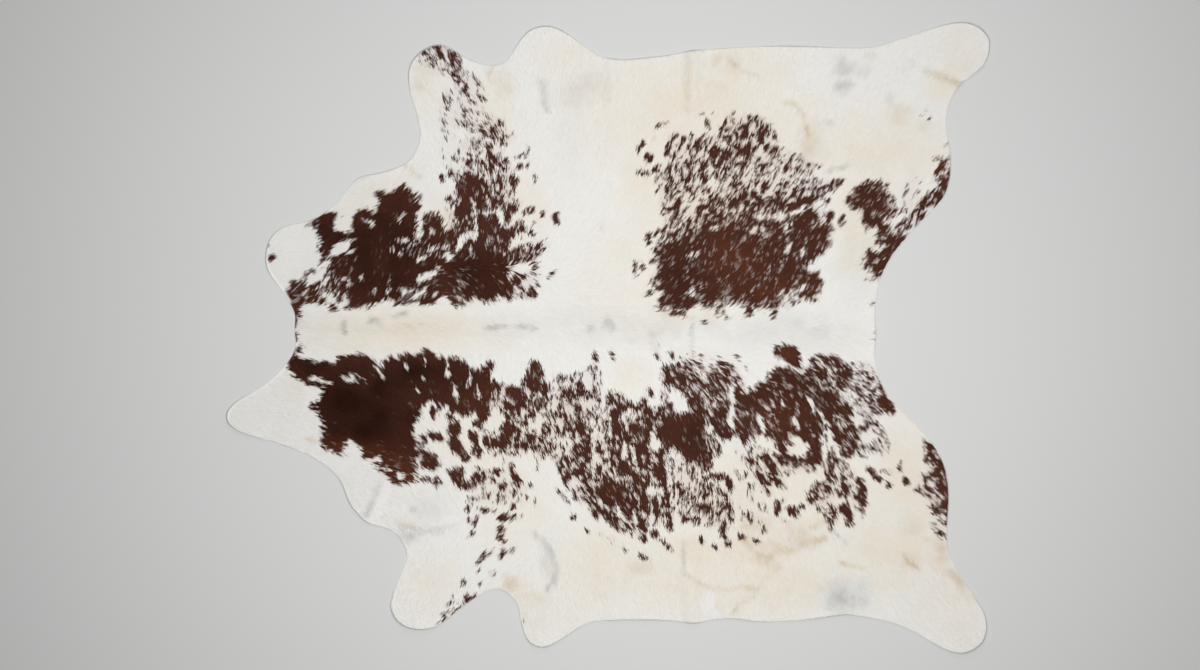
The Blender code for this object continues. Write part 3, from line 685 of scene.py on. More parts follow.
    (-8.8, -14, 1.1, 1.3, 0, 0.95), (-5, -17.5, 1.4, 0.9, 10, 0.8), (-4.2, -4.4, 0.6, 0.7, 0, 0.6),
    (-3.5, -26.5, 2, 3.6, 0, 0.35), (-2, -22.5, 2, 1.8, 0, 0.5), (-15.5, -32, 1.8, 2.4, 20, 0.5),
    (-13, -31.5, 1.8, 1.8, 0, 0.3), (-7, -30.5, 2.2, 1.4, 30, 0.9), (-20.8, -20, 1.7, 2.4, 0, 1),
    (-29, -16.2, 2.2, 2.2, 0, 1), (-39.2, -25.8, 1.5, 1.7, 20, 1),
    (-9.6, -34.6, 1.4, 3.2, 10, 0.97), (-77.2, -12, 1.8, 0.5, -50, 0.3),
    (-70.4, -37, 2.2, 0.7, -10, 0.3),
    # near elbow and foreleg
    (-35.8, -37.5, 3.4, 1.8, 0, 0.05), (-34.3, -35.4, 0.8, 0.7, 0, 0.8), (-24.5, -38, 3, 3.2, 0, 0),
    (-21.3, -38.5, 0.4, 1.6, 0, 0.7), (-28.3, -42, 1, 4, 25, 0.95), (-36.5, -41, 1.8, 1.4, 0, 0.65),
    (-35, -43.3, 1, 1, 0, 0.8), (-31.9, -45, 1.1, 1.7, 0, 1), (-33, -48.3, 0.9, 1.3, 0, 1),
    (-28.4, -46.2, 0.8, 0.6, 0, 0.9), (-40.4, -48.4, 1, 0.7, 0, 0.9),
    (-38.1, -48.3, 0.7, 0.7, 0, 0.95), (-36.2, -47.8, 0.6, 0.7, 0, 0.95),
    (-37.4, -44.5, 0.4, 1, 0, 0.7), (-22, -49.3, 0.5, 1.2, 0, 0.95),
    (-23.3, -44.1, 0.7, 0.7, -30, 0.8), (-24.5, -48.5, 0.5, 0.7, 0, 0.7),
    (-26.4, -49, 0.6, 0.8, 30, 0.6), (-42.5, -51.6, 0.7, 1.1, 0, 1), (-38, -51.8, 2, 0.8, -8, 0.95),
    (-33.8, -52.4, 1.8, 0.5, -8, 0.75), (-39.7, -55.4, 0.7, 1.7, -10, 0.95),
    (-41.5, -55, 0.6, 1.4, 10, 0.85), (-41, -58.6, 0.8, 1.2, 0, 0.85),
    (-42.4, -59.6, 0.5, 0.8, 0, 0.7), (-28.7, -51, 1, 1.3, 20, 1), (-31.6, -54.3, 1.9, 1.2, 20, 1),
    (-28.8, -54.5, 1.8, 0.8, 30, 0.9), (-25.9, -54, 0.7, 0.6, 0, 0.9),
    (-32.1, -57.6, 1, 1.6, 0, 0.95), (-32.4, -60, 1.2, 1, 0, 1), (-30.8, -61, 0.7, 0.5, 0, 0.8),
    (-33.6, -58.6, 0.4, 1, 0, 0.7), (-35.6, -64.6, 1.8, 0.7, 50, 0.9),
    (-38, -66.8, 2.2, 1, 50, 0.95), (-39.3, -70.3, 0.4, 0.9, -20, 0.9),
    (-32.2, -65.4, 1.5, 0.9, 40, 1), (-31.3, -63.3, 0.4, 0.9, 0, 0.9),
    (-28.6, -64, 1.2, 0.7, 45, 1), (-34.8, -71.3, 1.2, 0.7, 20, 0.8),
    (-38.3, -74.5, 0.4, 0.8, 0, 0.7), (-43.4, -73.5, 0.7, 1, 30, 0.9),
    (-42.6, -78.6, 1.4, 1.4, 0, 1), (-40.5, -77.8, 1.8, 0.6, 20, 0.85),
    (-46.8, -77.8, 0.4, 0.8, -20, 0.9), (-47.6, -79.9, 0.4, 0.7, -20, 0.95),
    (-45.6, -79.6, 0.4, 0.5, 0, 0.9), (-48.2, -82.2, 0.5, 0.7, 0, 0.9),
    (-47, -82.4, 0.6, 0.9, 0, 0.95), (-45.2, -81.6, 1, 0.6, 30, 0.95),
    (-49.4, -84.8, 0.6, 0.9, -30, 0.95), (-51.4, -86.6, 0.7, 0.4, 35, 0.7),
    (-25.5, -85.3, 1, 0.4, -45, 0.5), (-47.3, -84, 0.8, 0.5, 40, 0.9),
    (-44.2, -80.6, 0.9, 0.7, 20, 0.9), (-49.3, -83.2, 0.5, 0.8, -20, 0.9),
    # near flank
    (7, -24, 1.2, 2.6, 15, 0.12), (4.6, -23.5, 1, 1.6, 0, 0.3), (14.3, -32.3, 1.7, 2.6, 20, 0.05),
    (13.6, -28.5, 0.8, 1.2, 0, 0.2), (5, -34, 0.8, 2.8, 0, 0.12), (7.7, -35, 0.5, 3, 15, 0.1),
    (13, -46, 1.4, 1.4, 0, 0.1), (15.6, -47, 1, 1.6, 0, 0.15), (4.8, -42.5, 1.6, 0.7, 0, 0.25),
    (0.6, -46.2, 5, 3.4, 0, 0.98), (1.6, -56, 4.2, 1.3, -50, 0.97), (5, -51, 2.2, 4.2, 25, 0.97),
    (8, -54, 0.6, 3.4, 10, 0.25), (2.8, -52, 0.8, 2, 30, 0.25), (-10.5, -44, 1.2, 0.7, -40, 0.2),
    (-4, -36, 1.3, 2.6, 10, 0.35), (-13.2, -48.4, 1.4, 0.7, -45, 0.97),
    (-14.9, -46.4, 0.5, 0.7, 0, 0.8), (-10.6, -53.9, 1.1, 0.7, 0, 0.97),
    (-9.9, -48.4, 0.5, 0.7, 0, 0.9), (-6.7, -58, 0.9, 0.5, -20, 0.9),
    (-4.2, -53.6, 2, 0.8, -50, 0.8), (0.9, -60.5, 1, 0.6, 0, 0.6), (4.8, -63.3, 1, 1.2, 0, 0.4),
    (-1.8, -59, 0.6, 0.5, 0, 0.5), (23, -27, 7.5, 5, 10, 1), (25, -34, 5, 3.4, -35, 0.98),
    (21.2, -19.3, 1.3, 3.4, 28, 0.03), (16.8, -17, 1.3, 1, -30, 0.85),
    (12.8, -16.3, 1.2, 1.6, 30, 0.97), (14.4, -3.4, 0.8, 1.8, -40, 0.4),
    (15.1, -5.4, 1, 1.5, 20, 0.85), (1.2, -4.8, 0.6, 1.7, 15, 0.95), (39, -6, 0.5, 0.8, 0, 0.8),
    (41.9, -9, 0.4, 0.9, 20, 0.85), (28.8, -12, 2, 0.7, -45, 0.3), (38.3, -12.5, 1.4, 2.2, 20, 0.6),
    (34.4, -27.2, 1.8, 2.8, 10, 0.97), (31.8, -32.6, 1.8, 3, 35, 0.75),
    (37.3, -24, 0.9, 3.8, -6, 0.08), (17.5, -54, 1.6, 3, 10, 0.85), (14.3, -55, 1.6, 1.8, 0, 0.4),
    (10.5, -60.8, 1.8, 0.7, -15, 0.97), (17.5, -62.3, 2.4, 1, -40, 0.75),
    (11, -66.2, 2.2, 0.7, -10, 0.8), (11, -64.6, 1.6, 0.4, 20, 0.4),
    (18.6, -20.4, 1.3, 2, 25, 0.97), (9.6, -28.5, 1.4, 2.2, 0, 0.97), (27.4, -31.8, 2, 1.5, 0, 1),
    (14.2, -59, 1.4, 1.2, 0, 0.95), (14.2, -1.6, 1.3, 1.1, 0, 0.3), (15.2, -5.2, 0.9, 1.7, 0, 0.75),
    (19.8, -4.8, 0.6, 0.9, 30, 0.8), (28.4, -5.6, 0.9, 0.6, 0, 0.85),
    (30.9, -27.4, 1, 1.7, 0, 0.25), (32.2, -22.2, 0.6, 1.4, 10, 0.25),
    # near stifle and belly
    (58, -43.6, 4.4, 3, 0, 0), (33.2, -41.6, 3, 1.2, -5, 1), (36.9, -44, 1.1, 3, 5, 0.98),
    (29.5, -51.5, 3, 2.2, -40, 0.97), (34.6, -53, 1.8, 1.5, 0, 0.7),
    (25.4, -54.7, 0.8, 0.9, 0, 0.97), (22.8, -54.3, 0.8, 1.2, 0, 0.6),
    (31.3, -56.2, 1, 0.6, 0, 0.8), (34.9, -58.3, 1.3, 2.6, 15, 0.85),
    (36.4, -62, 1.2, 1.2, 30, 0.8), (32.3, -63, 0.9, 1, 0, 0.75), (28.2, -61, 0.9, 1.3, -20, 0.7),
    (40.7, -60.3, 1.1, 1.3, 0, 1), (45, -61, 1.2, 0.6, -30, 1), (41.3, -53.4, 1.1, 0.6, -35, 0.97),
    (37.6, -54.5, 0.7, 0.7, 0, 0.5), (47.5, -57.4, 0.9, 0.9, 0, 0.75), (42, -41, 0.5, 0.8, 0, 0.6),
    (49.3, -38.3, 4, 1.2, -50, 0.95), (46.8, -42.5, 2.6, 0.8, -50, 0.85),
    (48.5, -47, 0.9, 1.4, 10, 0.9), (52.3, -43, 2.8, 0.7, -50, 0.8), (43, -37.5, 0.8, 1.4, 20, 0.9),
    (51.3, -51.3, 1.3, 2.2, 0, 0.97), (53, -49, 0.7, 0.8, 0, 0.8), (56, -52.3, 2.2, 1.7, -20, 0.98),
    (53.5, -55.3, 1.4, 0.6, 0, 0.8), (58.7, -50.8, 1.3, 0.6, -40, 0.9),
    (31.2, -38.6, 0.5, 0.9, 0, 0.7), (28.2, -37.6, 2.6, 1.3, -40, 0.95),
    # near thigh and rump
    (72, -27.5, 3.6, 7, 15, 0.86), (67.4, -34.6, 1.8, 2.2, 0, 0.5), (57.3, -32.6, 3.6, 3.2, 0, 0),
    (54.5, -31.5, 1.6, 1.3, -10, 0.95), (54.3, -37, 2.8, 1.6, -25, 0.97),
    (61.4, -20, 0.5, 3, 20, 0.1), (46.4, -26, 0.9, 2.4, 22, 0.05), (56.8, -25.6, 0.4, 2, 25, 0.2),
    (49.7, -20, 0.3, 1.8, 10, 0.2), (52.6, -19.8, 0.4, 1.5, 10, 0.2), (65, -24, 0.8, 2.4, 25, 0.15),
    (66.2, -29.5, 1, 2, 0, 0.3), (72.8, -17, 2.2, 2.2, 30, 0.25), (75.5, -24, 1.6, 3, 0, 0.25),
    (67.5, -10.5, 6.5, 4.5, -40, 0.82), (60, -30.5, 2.6, 1.2, -30, 0.95),
    (63.6, -45.2, 2, 2, 20, 0.95), (61.8, -48.5, 1.8, 1, 15, 0.95),
    (76.8, -47.4, 1.5, 3.3, 15, 0.95), (71.8, -52.6, 1.6, 3.4, 25, 0.97),
    (68.2, -53.4, 0.8, 1.4, 10, 0.85), (67, -57.8, 0.9, 1, 0, 0.9), (63.5, -51.3, 0.5, 0.9, 0, 0.8),
    (70.8, -46.8, 1.6, 1.2, -20, 0.9), (69, -49, 1.6, 1.2, 0, 0.1), (73.3, -48, 0.9, 1.4, 0, 0.2),
    (77, -27.2, 1.6, 1, 0, 1), (79, -30, 2.4, 1.6, 0, 0.12), (76.3, -34.3, 2.6, 0.5, -45, 0.8),
    (79.8, -40.6, 3, 1.2, -45, 0.95), (81.8, -42.4, 1.6, 0.8, -20, 0.9), (84, -40, 2, 0.5, 5, 0.8),
    (84.8, -44.4, 0.8, 1.1, 0, 0.97), (88.2, -39.3, 1, 0.8, 30, 0.9),
    (88.4, -37, 1, 0.5, -40, 0.85), (90.2, -43.3, 0.9, 1.7, 10, 0.97), (87, -40, 0.8, 0.4, 0, 0.6),
    (102.2, -56.2, 0.5, 0.8, 0, 0.97), (70.5, -38, 2.2, 1.2, -20, 0.8),
    (62.4, -34.2, 1.3, 3.8, 5, 1), (33, -22.2, 1.8, 1.8, 0, 0.97),
    (37.3, -17.2, 0.8, 2.6, 10, 0.25), (64.2, -41, 1.2, 1.6, 20, 0.1),
    (95.2, -46.4, 2.2, 1.4, -50, 0.85), (80.4, -22.3, 1.6, 1.1, -20, 0.97),
    (22.2, -12, 1.6, 2, 0, 0.98), (43.8, -30.2, 0.9, 1.4, 10, 0.95),
    (84.6, -40.6, 1.4, 1, -30, 0.7), (96.4, -37.4, 1.7, 0.6, -50, 0.95),
    (95.7, -42.6, 1.5, 0.8, -50, 0.95), (98, -41, 1.4, 2.4, 20, 0.9),
    (98.2, -48.4, 2, 1.4, -50, 0.85),
)
FULLEST = (0.95, 1)  # share of brown locks in a full patch, and where its hair is darkest
DAB_CORE, DAB_RIM = 0.75, 1.3  # parts of a dab's half sizes where it starts and ends to fade
RAGGED_REACH = 1.1 * CM  # no outline is read further out of its place than this


def smoothstep(value, low, high):
    """0 up to low, 1 from high on, and 3t^2 - 2t^3 of the way t between."""
    t = np.clip((value - low) / (high - low), 0, 1)
    return t * t * (3 - 2 * t)


def oval(x, y, item, inner, outer):
    """1 inside a table row's oval, falling to 0 between inner and outer times its half sizes."""
    turn = np.radians(item.turn)
    dx, dy = x - item.x * CM, y - item.y * CM
    along = (dx * np.cos(turn) + dy * np.sin(turn)) / (item.long * CM)
    across = (dy * np.cos(turn) - dx * np.sin(turn)) / (item.wide * CM)
    return 1 - smoothstep(np.hypot(along, across), inner, outer)


def near_oval(item, outer, room=0.0):
    """The part of the lattice that a table row's oval covers, with room round it."""
    return near(item.x * CM, item.y * CM, outer * max(item.long, item.wide) * CM + room)


def patch_share():
    """Share of brown locks at each lattice point from the patches: the highest of those there,
    each falling to 0 over its fade."""
    share = np.zeros_like(plan_x)
    for patch in PATCHES:
        loop = smooth_loop(np.array(patch.points, float) * CM, steps=4)
        middle = (loop.min(axis=0) + loop.max(axis=0)) / 2
        fade = patch.fade * CM
        part = near(*middle, np.ptp(loop, axis=0).max() / 2 + fade + RAGGED_REACH)
        depth = depth_inside(ragged_x[part].ravel(), ragged_y[part].ravel(), loop)
        full = smoothstep(depth, -fade, fade).reshape(ragged_x[part].shape)
        share[part] = np.maximum(share[part], patch.brown * full)
    return share


def dab_share():
    """What the dabs make of the patches: how much of a patch's share each lattice point keeps, and
    the share added to that. Every dab in turn pulls both towards its own brown."""
    kept, added = np.ones_like(plan_x), np.zeros_like(plan_x)
    for dab in DABS:
        part = near_oval(dab, DAB_RIM, RAGGED_REACH)
        cover = oval(ragged_x[part], ragged_y[part], dab, DAB_CORE, DAB_RIM)
        kept[part] *= 1 - cover
        added[part] += (dab.brown - added[part]) * cover
    return kept, added


# Soft changes of colour: centre, half length, half width, turn, and how strong it is there
TINT = "x y long wide turn strength"
TINT_CORE, TINT_RIM = 0.1, 1.3  # as for the dabs
CREAM_AND_HIGHLIGHT = table(
    TINT,
    (28, 66, 42, 24, 0, 0.72), (38, 79, 32, 12, 0, 0.55), (82, 56, 26, 16, 0, 0.62),
    (-55, 76, 7, 12, 0, 0.35), (-70, 42, 18, 7, 30, 0.4), (-62, 2.5, 36, 9, 0, 0.8),
    (106, 88, 10, 8, 0, 0.35), (40, -72, 60, 15, 0, 0.66), (38, -64, 34, 8, 0, 0.95),
    (84, -64, 20, 16, 0, 0.7), (102, -80, 16, 16, -40, 0.4), (-54, -74, 12, 13, 0, 0.35),
    (-2, -68, 22, 18, 0, 0.58), (12, 52, 12, 36, 0, 0.62), (32, 40, 28, 18, 0, 0.75),
    (76, 36, 10, 18, 0, 0.8), (48, -48, 42, 20, 0, 0.8), (91, -44, 14, 26, 0, 0.75),
    (101, -66, 5, 9, 20, 0.8), (102, 76, 8, 7, 0, 0.85), (-30, -28, 32, 14, 0, 0.45),
    (4, -36, 16, 18, 0, 0.45), (-24, 40, 9, 14, 0, 0.5), (-50, 36, 6, 8, 0, 0.6),
    (-35, 66, 10, 12, 0, 0.45), (24, 6, 14, 5, 0, 0.6), (-28, -77, 9, 7, 0, 0.7),
    (6, 18, 18, 22, 0, 0.4), (-12, 84, 12, 9, 0, 0.4), (-33, 76, 6, 8, 0, 0.5),
    (7.5, -11, 7, 6, 0, 0.55), (-28, -50, 14, 20, 0, 0.4), (-95, -15, 4, 5, 0, 0.45),
    # (82, 78) is a painted highlight: it keeps the cream off a line of whiter hair along the crest
    # of the far thigh fold
    (65, 81, 10, 7, 20, -0.7), (82, 78, 12, 2, 31, -1), (71, -79, 9, 6.5, 0, -1),
    (30, -80, 2.4, 6, 0, -1), (-41, 81, 5, 2.4, 0, -1),
)
TAN_AND_SHADE = table(
    TINT,
    (-31, 77, 5, 5, 0, 0.2), (-57.5, 80, 3, 6, 0, 0.14), (-29.5, -74, 3.8, 2.8, -20, 0.8),
    # (-9, 74) is painted shade in the hollow of a shallow fold
    (-22, -78.4, 5, 2.2, 0, 0.3), (-9, 74, 11, 6, 30, 0.16), (61.5, 58.5, 5, 7.5, -10, 0.4),
    (88, 67, 4, 3.4, 0, 0.4), (95, 63, 4, 2.6, 0, 0.25), (108, 83, 6, 4, 20, 0.1),
    # (-20, -84) is painted shade along the near edge by the elbow flap
    (-20, -84, 12, 8, 0, 0.16), (77.5, 86, 3, 2.4, 0, 0.3), (15, 2, 2.6, 1.8, 0, 0.3),
    (33, 84.5, 3.4, 1.2, 10, 0.4), (38, 82, 3.4, 3.6, 0, 0.22), (33, 76, 4, 1.6, 0, 0.2),
    (46, -56, 6, 3, 0, 0.4), (43, -62, 3, 1.6, 0, 0.5), (48, -67, 4, 1.6, -10, 0.6),
    (57, -59, 7, 4, 0, 0.45), (50, -63, 7, 3, 0, 0.4), (61.5, -61.5, 3.4, 2.4, 0, 0.4),
    (63.5, -55.6, 3.4, 1.5, -20, 0.6), (91, -57, 5, 4, 10, 0.4), (92, -67.5, 3, 2.4, -30, 0.4),
    (101, -64.5, 3.4, 2.4, 0, 0.6), (105.5, -72.5, 2.8, 6, 25, 0.6), (96.5, -61.5, 1.6, 1, 0, 0.7),
    (10, -68.5, 3.4, 3, 0, 0.4), (-61.5, -55, 3, 1.3, 45, 0.5), (-90, -31.3, 2.4, 1.2, -20, 0.5),
)
# Grey hair where it grows thin, and in some rows painted shade in the hollows of folds
GREY_AND_SHADE = table(
    TINT,
    (-19.6, 73.5, 1.6, 6, 5, 0.22), (-18.5, -67, 3, 8, 10, 0.18), (70.5, 82, 5, 3.2, 0, 0.44),
    (71, 75.5, 3.6, 3, 0, 0.44), (76.5, 80, 2, 3, 0, 0.25), (71.5, -78, 7.5, 6, 0, 0.5),
    (75, -81, 3, 2, 0, 0.35), (10, 3, 60, 6, 0, 0.12), (55, 2, 26, 7, 0, 0.18),
    (-77, -46, 7, 9, -30, 0.1), (-53, -51, 7, 7, 0, 0.12), (-60, -59, 3, 2, 0, 0.26),
    (-58, -50.4, 1.8, 0.7, 0, 0.35), (-80.8, 3.4, 1.1, 2.4, 0, 1), (-70, 4.6, 2.6, 1.8, 0, 0.5),
    (-64, 8, 2.6, 1.1, 0, 0.6), (-57, 4.6, 0.9, 0.7, 0, 0.5), (-60.5, 4.9, 1.6, 0.6, 20, 0.4),
    (-4.5, 3, 2.6, 1.8, 30, 0.7), (-0.6, 4, 1.4, 2.4, 0, 0.6), (62.5, 3.5, 1.2, 2.2, 35, 0.3),
    (-105, -22, 10, 6, 0, 0.05), (-2.8, 33.5, 0.9, 0.7, 0, 0.4), (68, 50.3, 3.8, 1.2, 8, 0.5),
    # (-8, 75) is painted shade in the hollow of a shallow fold, as is the tan row there
    (67, 64, 1.5, 1.2, 0, 0.5), (-8, 75, 10, 5, 35, 0.14), (84.5, 71, 1.4, 4, 0, 0.15),
    (-11, 60, 5, 20, 0, 0.06), (75, 22, 8, 16, 0, 0.1), (5, -1, 3, 1.4, 0, 0.2),
)
# Lighter reddish brown: partly redder hair, and partly a painted sheen on the brown, as in the far
# flank's middle and the near shoulder's lower edge
RUST_AND_SHEEN = table(
    TINT,
    (-74, -34, 17, 5, -20, 0.9), (-62, -42, 6, 4, -30, 0.8), (38, 24, 10, 14, 20, 0.5),
    (50, 14, 12, 6, 0, 0.6), (-30, 18, 8, 5, 0, 0.4), (52, -22, 7, 10, -60, 0.35),
    (0, -46, 7, 6, -40, 0.4), (101, -46, 3, 9, 0, 0.5), (100, 50, 4, 7, 0, 0.7),
    (54, -4, 4, 4, 0, 0.5), (64, 12, 5, 8, 0, 0.4), (-38, -14, 10, 8, 0, 0.3),
)
DARK = table(
    TINT,
    (-74, -21, 22, 16, -10, 1), (-60, -12, 20, 8, 0, 0.8), (-90, -8, 10, 6, 0, 0.6),
    (-68, 25, 20, 20, 0, 0.65), (-38, 20, 14, 9, 0, 0.6), (-84, 30, 10, 10, 0, 0.5),
    (28, -30, 10, 7, 0, 0.35), (60, -15, 14, 8, 0, 0.25), (22, 18, 8, 10, 0, 0.3),
    (-36, 18, 9, 8, 0, 0.6), (-46, -12, 14, 9, 0, 0.4), (0, -48, 12, 8, -45, 0.3),
)
# Where brown and white grow in single strands
THIN = table(
    TINT,
    (-47, 82, 13, 9, 0, 1), (-44, 68, 8, 9, 0, 0.5), (-38, 60, 9, 5, 0, 0.3),
    (-44, -80, 9, 8, 20, 0.6), (28, -14, 12, 9, -20, 0.9), (74, -18, 9, 15, 0, 0.9),
    (28, -48, 10, 9, 0, 0.5), (-12, -14, 9, 7, 0, 0.25), (43, 50, 14, 8, 20, 0.4),
    (-90, 14, 8, 5, 0, 0.5), (-61, 26, 7, 5, 20, 0.6), (-81, 17, 6, 6, 0, 0.6),
    (79, 44, 8, 7, 0, 0.5), (40, 22, 26, 16, 0, 1), (64, -15, 12, 10, 0, 0.7),
)
# Where more or fewer locks are brown than round about
LEAN = table(
    TINT,
    (-82, 13.5, 4, 3, 0, -0.4), (-75, 16, 6, 5, 0, -0.5), (-60, 27.5, 7, 4, 20, -0.3),
    (-52.5, 31, 3.4, 2.6, 0, -0.7), (-40, 75, 3, 5, 0, -1.1), (-62, 13.5, 5, 2.2, 0, -0.4),
    (-53.5, 13.5, 2.4, 3, 0, 1), (-26, 21.5, 3, 3, 0, -0.6), (-56, 86, 3, 3, 0, -0.5),
    (-26.5, 53, 2, 4, 0, 0.7), (-30, 45, 2.4, 4.4, 0, -0.9), (-47.5, 24.5, 4, 3, 0, -0.5),
    (-56.5, 24, 3, 2.4, 0, -0.5), (-34, 36, 3, 3, 0, 0.5), (-20.5, 26.5, 3, 2, 0, -0.7),
    (-57, 39, 2.4, 2, 0, 0.7), (-31, 31, 3, 2.4, 0, 0.6), (-31, 24.5, 3, 2.4, 0, 0.5),
    (-38.5, 47.5, 3.6, 2.4, 0, 0.6), (-37, 67, 2, 2, 0, 0.6), (-43, 57, 3, 3, 0, -0.4),
    (-45, 69.5, 6, 8, 0, -0.8), (-38, 62, 6, 3, 0, -0.4), (-23, 28.5, 4, 2, -30, -0.9),
    (-45, 50.5, 6, 2.4, 0, -0.6), (-34, 54, 3, 2.4, 0, -0.8), (-37, 39.5, 3, 2, 0, 0.5),
    (-45, 85.5, 4, 2.4, 0, 0.9), (-49, 73, 1.6, 2.4, 0, -1.2), (-41.5, 74, 2.4, 2, 0, -0.8),
    (33.5, 43, 2.6, 3, 0, 0.6), (40.5, 38.5, 7, 3, 25, -0.6), (21.5, 37, 3, 2.4, 0, -0.7),
    (36, 65, 2.4, 2.4, 0, -0.7), (45, 33, 3, 1.4, 0, -0.6), (26.5, 37.5, 2, 3, 0, -0.4),
    (13, 50.5, 4, 2, -30, 1.2), (23, 54, 3, 4, 0, -0.9), (18, 30, 3, 2.4, 0, -0.9),
    (43.5, 41.5, 2.6, 1.6, 0, -1.2), (40.5, 58.5, 3, 2.6, 0, -1), (50, 59, 2.4, 2.6, 0, -1),
    (23, 60.5, 3, 2, 0, -0.8), (44, 64.5, 3, 2, 0, -0.5), (39.5, 64, 2.4, 2, 0, 0.8),
    (46, 58, 2, 3, 0, 0.8), (70, 43.5, 8, 3, 0, 0.6), (98, 40.5, 2.4, 1.6, 0, -0.9),
    (32.5, 55.5, 3, 4, 0, 0.4), (59, 50.5, 4.4, 3.4, 0, -0.8), (28, 57, 2, 2, 0, 0.6),
    (46, 48.5, 3, 2.4, 0, -0.5), (91, 37, 4, 3, 40, 0.6), (83, 30, 3, 2.4, 0, 0.6),
    (78.5, 44.5, 4, 1.6, -10, -0.5), (84, 25, 3, 2, 30, -0.6), (46, 14.5, 5, 3.6, 0, 0.6),
    (53, 22.5, 2.4, 4.4, 20, -0.8), (62, 25, 4, 3, 0, 0.6), (24, 14, 5, 3, 20, 0.5),
    (33, 9.5, 3, 2, 0, 0.7), (21, 8, 3, 2, 0, 0.7), (80, 44.5, 6, 1.6, -10, -0.6),
    (-9, -12, 2.4, 2.6, 0, -0.7), (-3, -53, 3, 2, 0, -0.8), (72.5, -31, 2, 4, -20, -0.5),
    (-18.5, -12.5, 2, 5, 0, 0.7), (-8.5, -20, 3, 4, 0, -0.5), (-13, -18, 3, 6, 0, -0.3),
    (-8, -17, 7, 3, 0, 0.6), (28, -9.6, 10, 2.4, 0, -1.1), (34, -23, 3.2, 3.2, 0, 0.8),
    (26, -47, 7, 4, -20, 0.8), (27, -52.5, 4, 2, -10, -0.9), (21.5, -44.5, 3, 2, -20, 1.2),
    (5, -18, 8, 2, -20, -0.8), (33, -42, 3, 3.4, 0, 0.9), (27, -37.5, 3.4, 3, 0, -1),
    (22, -17.5, 6, 3, 20, 0.6), (-7, -40, 2.6, 3.2, 0, 0.4), (-9, -24, 3, 2, 30, -0.7),
    (-13, -27, 2, 3, 0, 0.5), (-13.5, -21.5, 2.4, 2, 0, -0.8), (10, -23.5, 2, 4, 0, -0.8),
    (3.5, -23, 3, 3, 0, 0.7), (-26.5, -14, 2.4, 2.6, 0, 0.9), (-22.5, -10, 2, 3, 0, -0.9),
    (-5, -27, 2, 3, 0, 0.5), (-41, -46.5, 2.4, 5, -20, -1), (-30, -49, 2.6, 2, 0, -0.6),
    (7.5, -58, 3.2, 2.6, 0, -0.4), (-11, -44, 2.4, 2.6, 0, -0.7), (3, -37, 2.6, 3.2, 0, -0.8),
    (4, -43.5, 3, 3, 0, -0.7), (13.5, -37, 3, 2.4, 0, -0.6), (-17, -31, 8, 1.8, 0, -0.7),
    (29.3, -28, 2, 2.6, 0, -1), (34, -28, 2, 4, -20, 0.8), (63, -14.5, 6, 4, 0, -0.9),
    (71, -25.5, 6, 3, 20, -0.7), (43, -23, 6, 2.6, -40, -1.1), (53, -27, 2, 6, 10, 0.5),
    (67, -38, 1.6, 3.4, 0, 0.4), (64, -40, 3, 2.6, 20, -0.9), (66, -50, 1.4, 4, 0, -0.8),
    (79, -46, 2, 3, 0, -0.7), (97.5, -44.5, 1.6, 2, 0, -0.7), (99.5, -56, 2, 2.4, 0, -1.1),
    (95.5, -35.5, 2, 2, 0, -0.9), (48, -38.5, 2.4, 3, 0, 0.5), (80, -16, 3, 6, 20, 0.8),
    (73, -8.2, 2.6, 2.6, 0, 0.5), (77.5, -26, 3, 3, 0, -0.6), (45, -28.5, 3, 2.4, 0, -0.9),
    (38, -17.5, 1.8, 4.4, 0, -0.4), (14, -54, 3, 3, 0, -0.9),
)

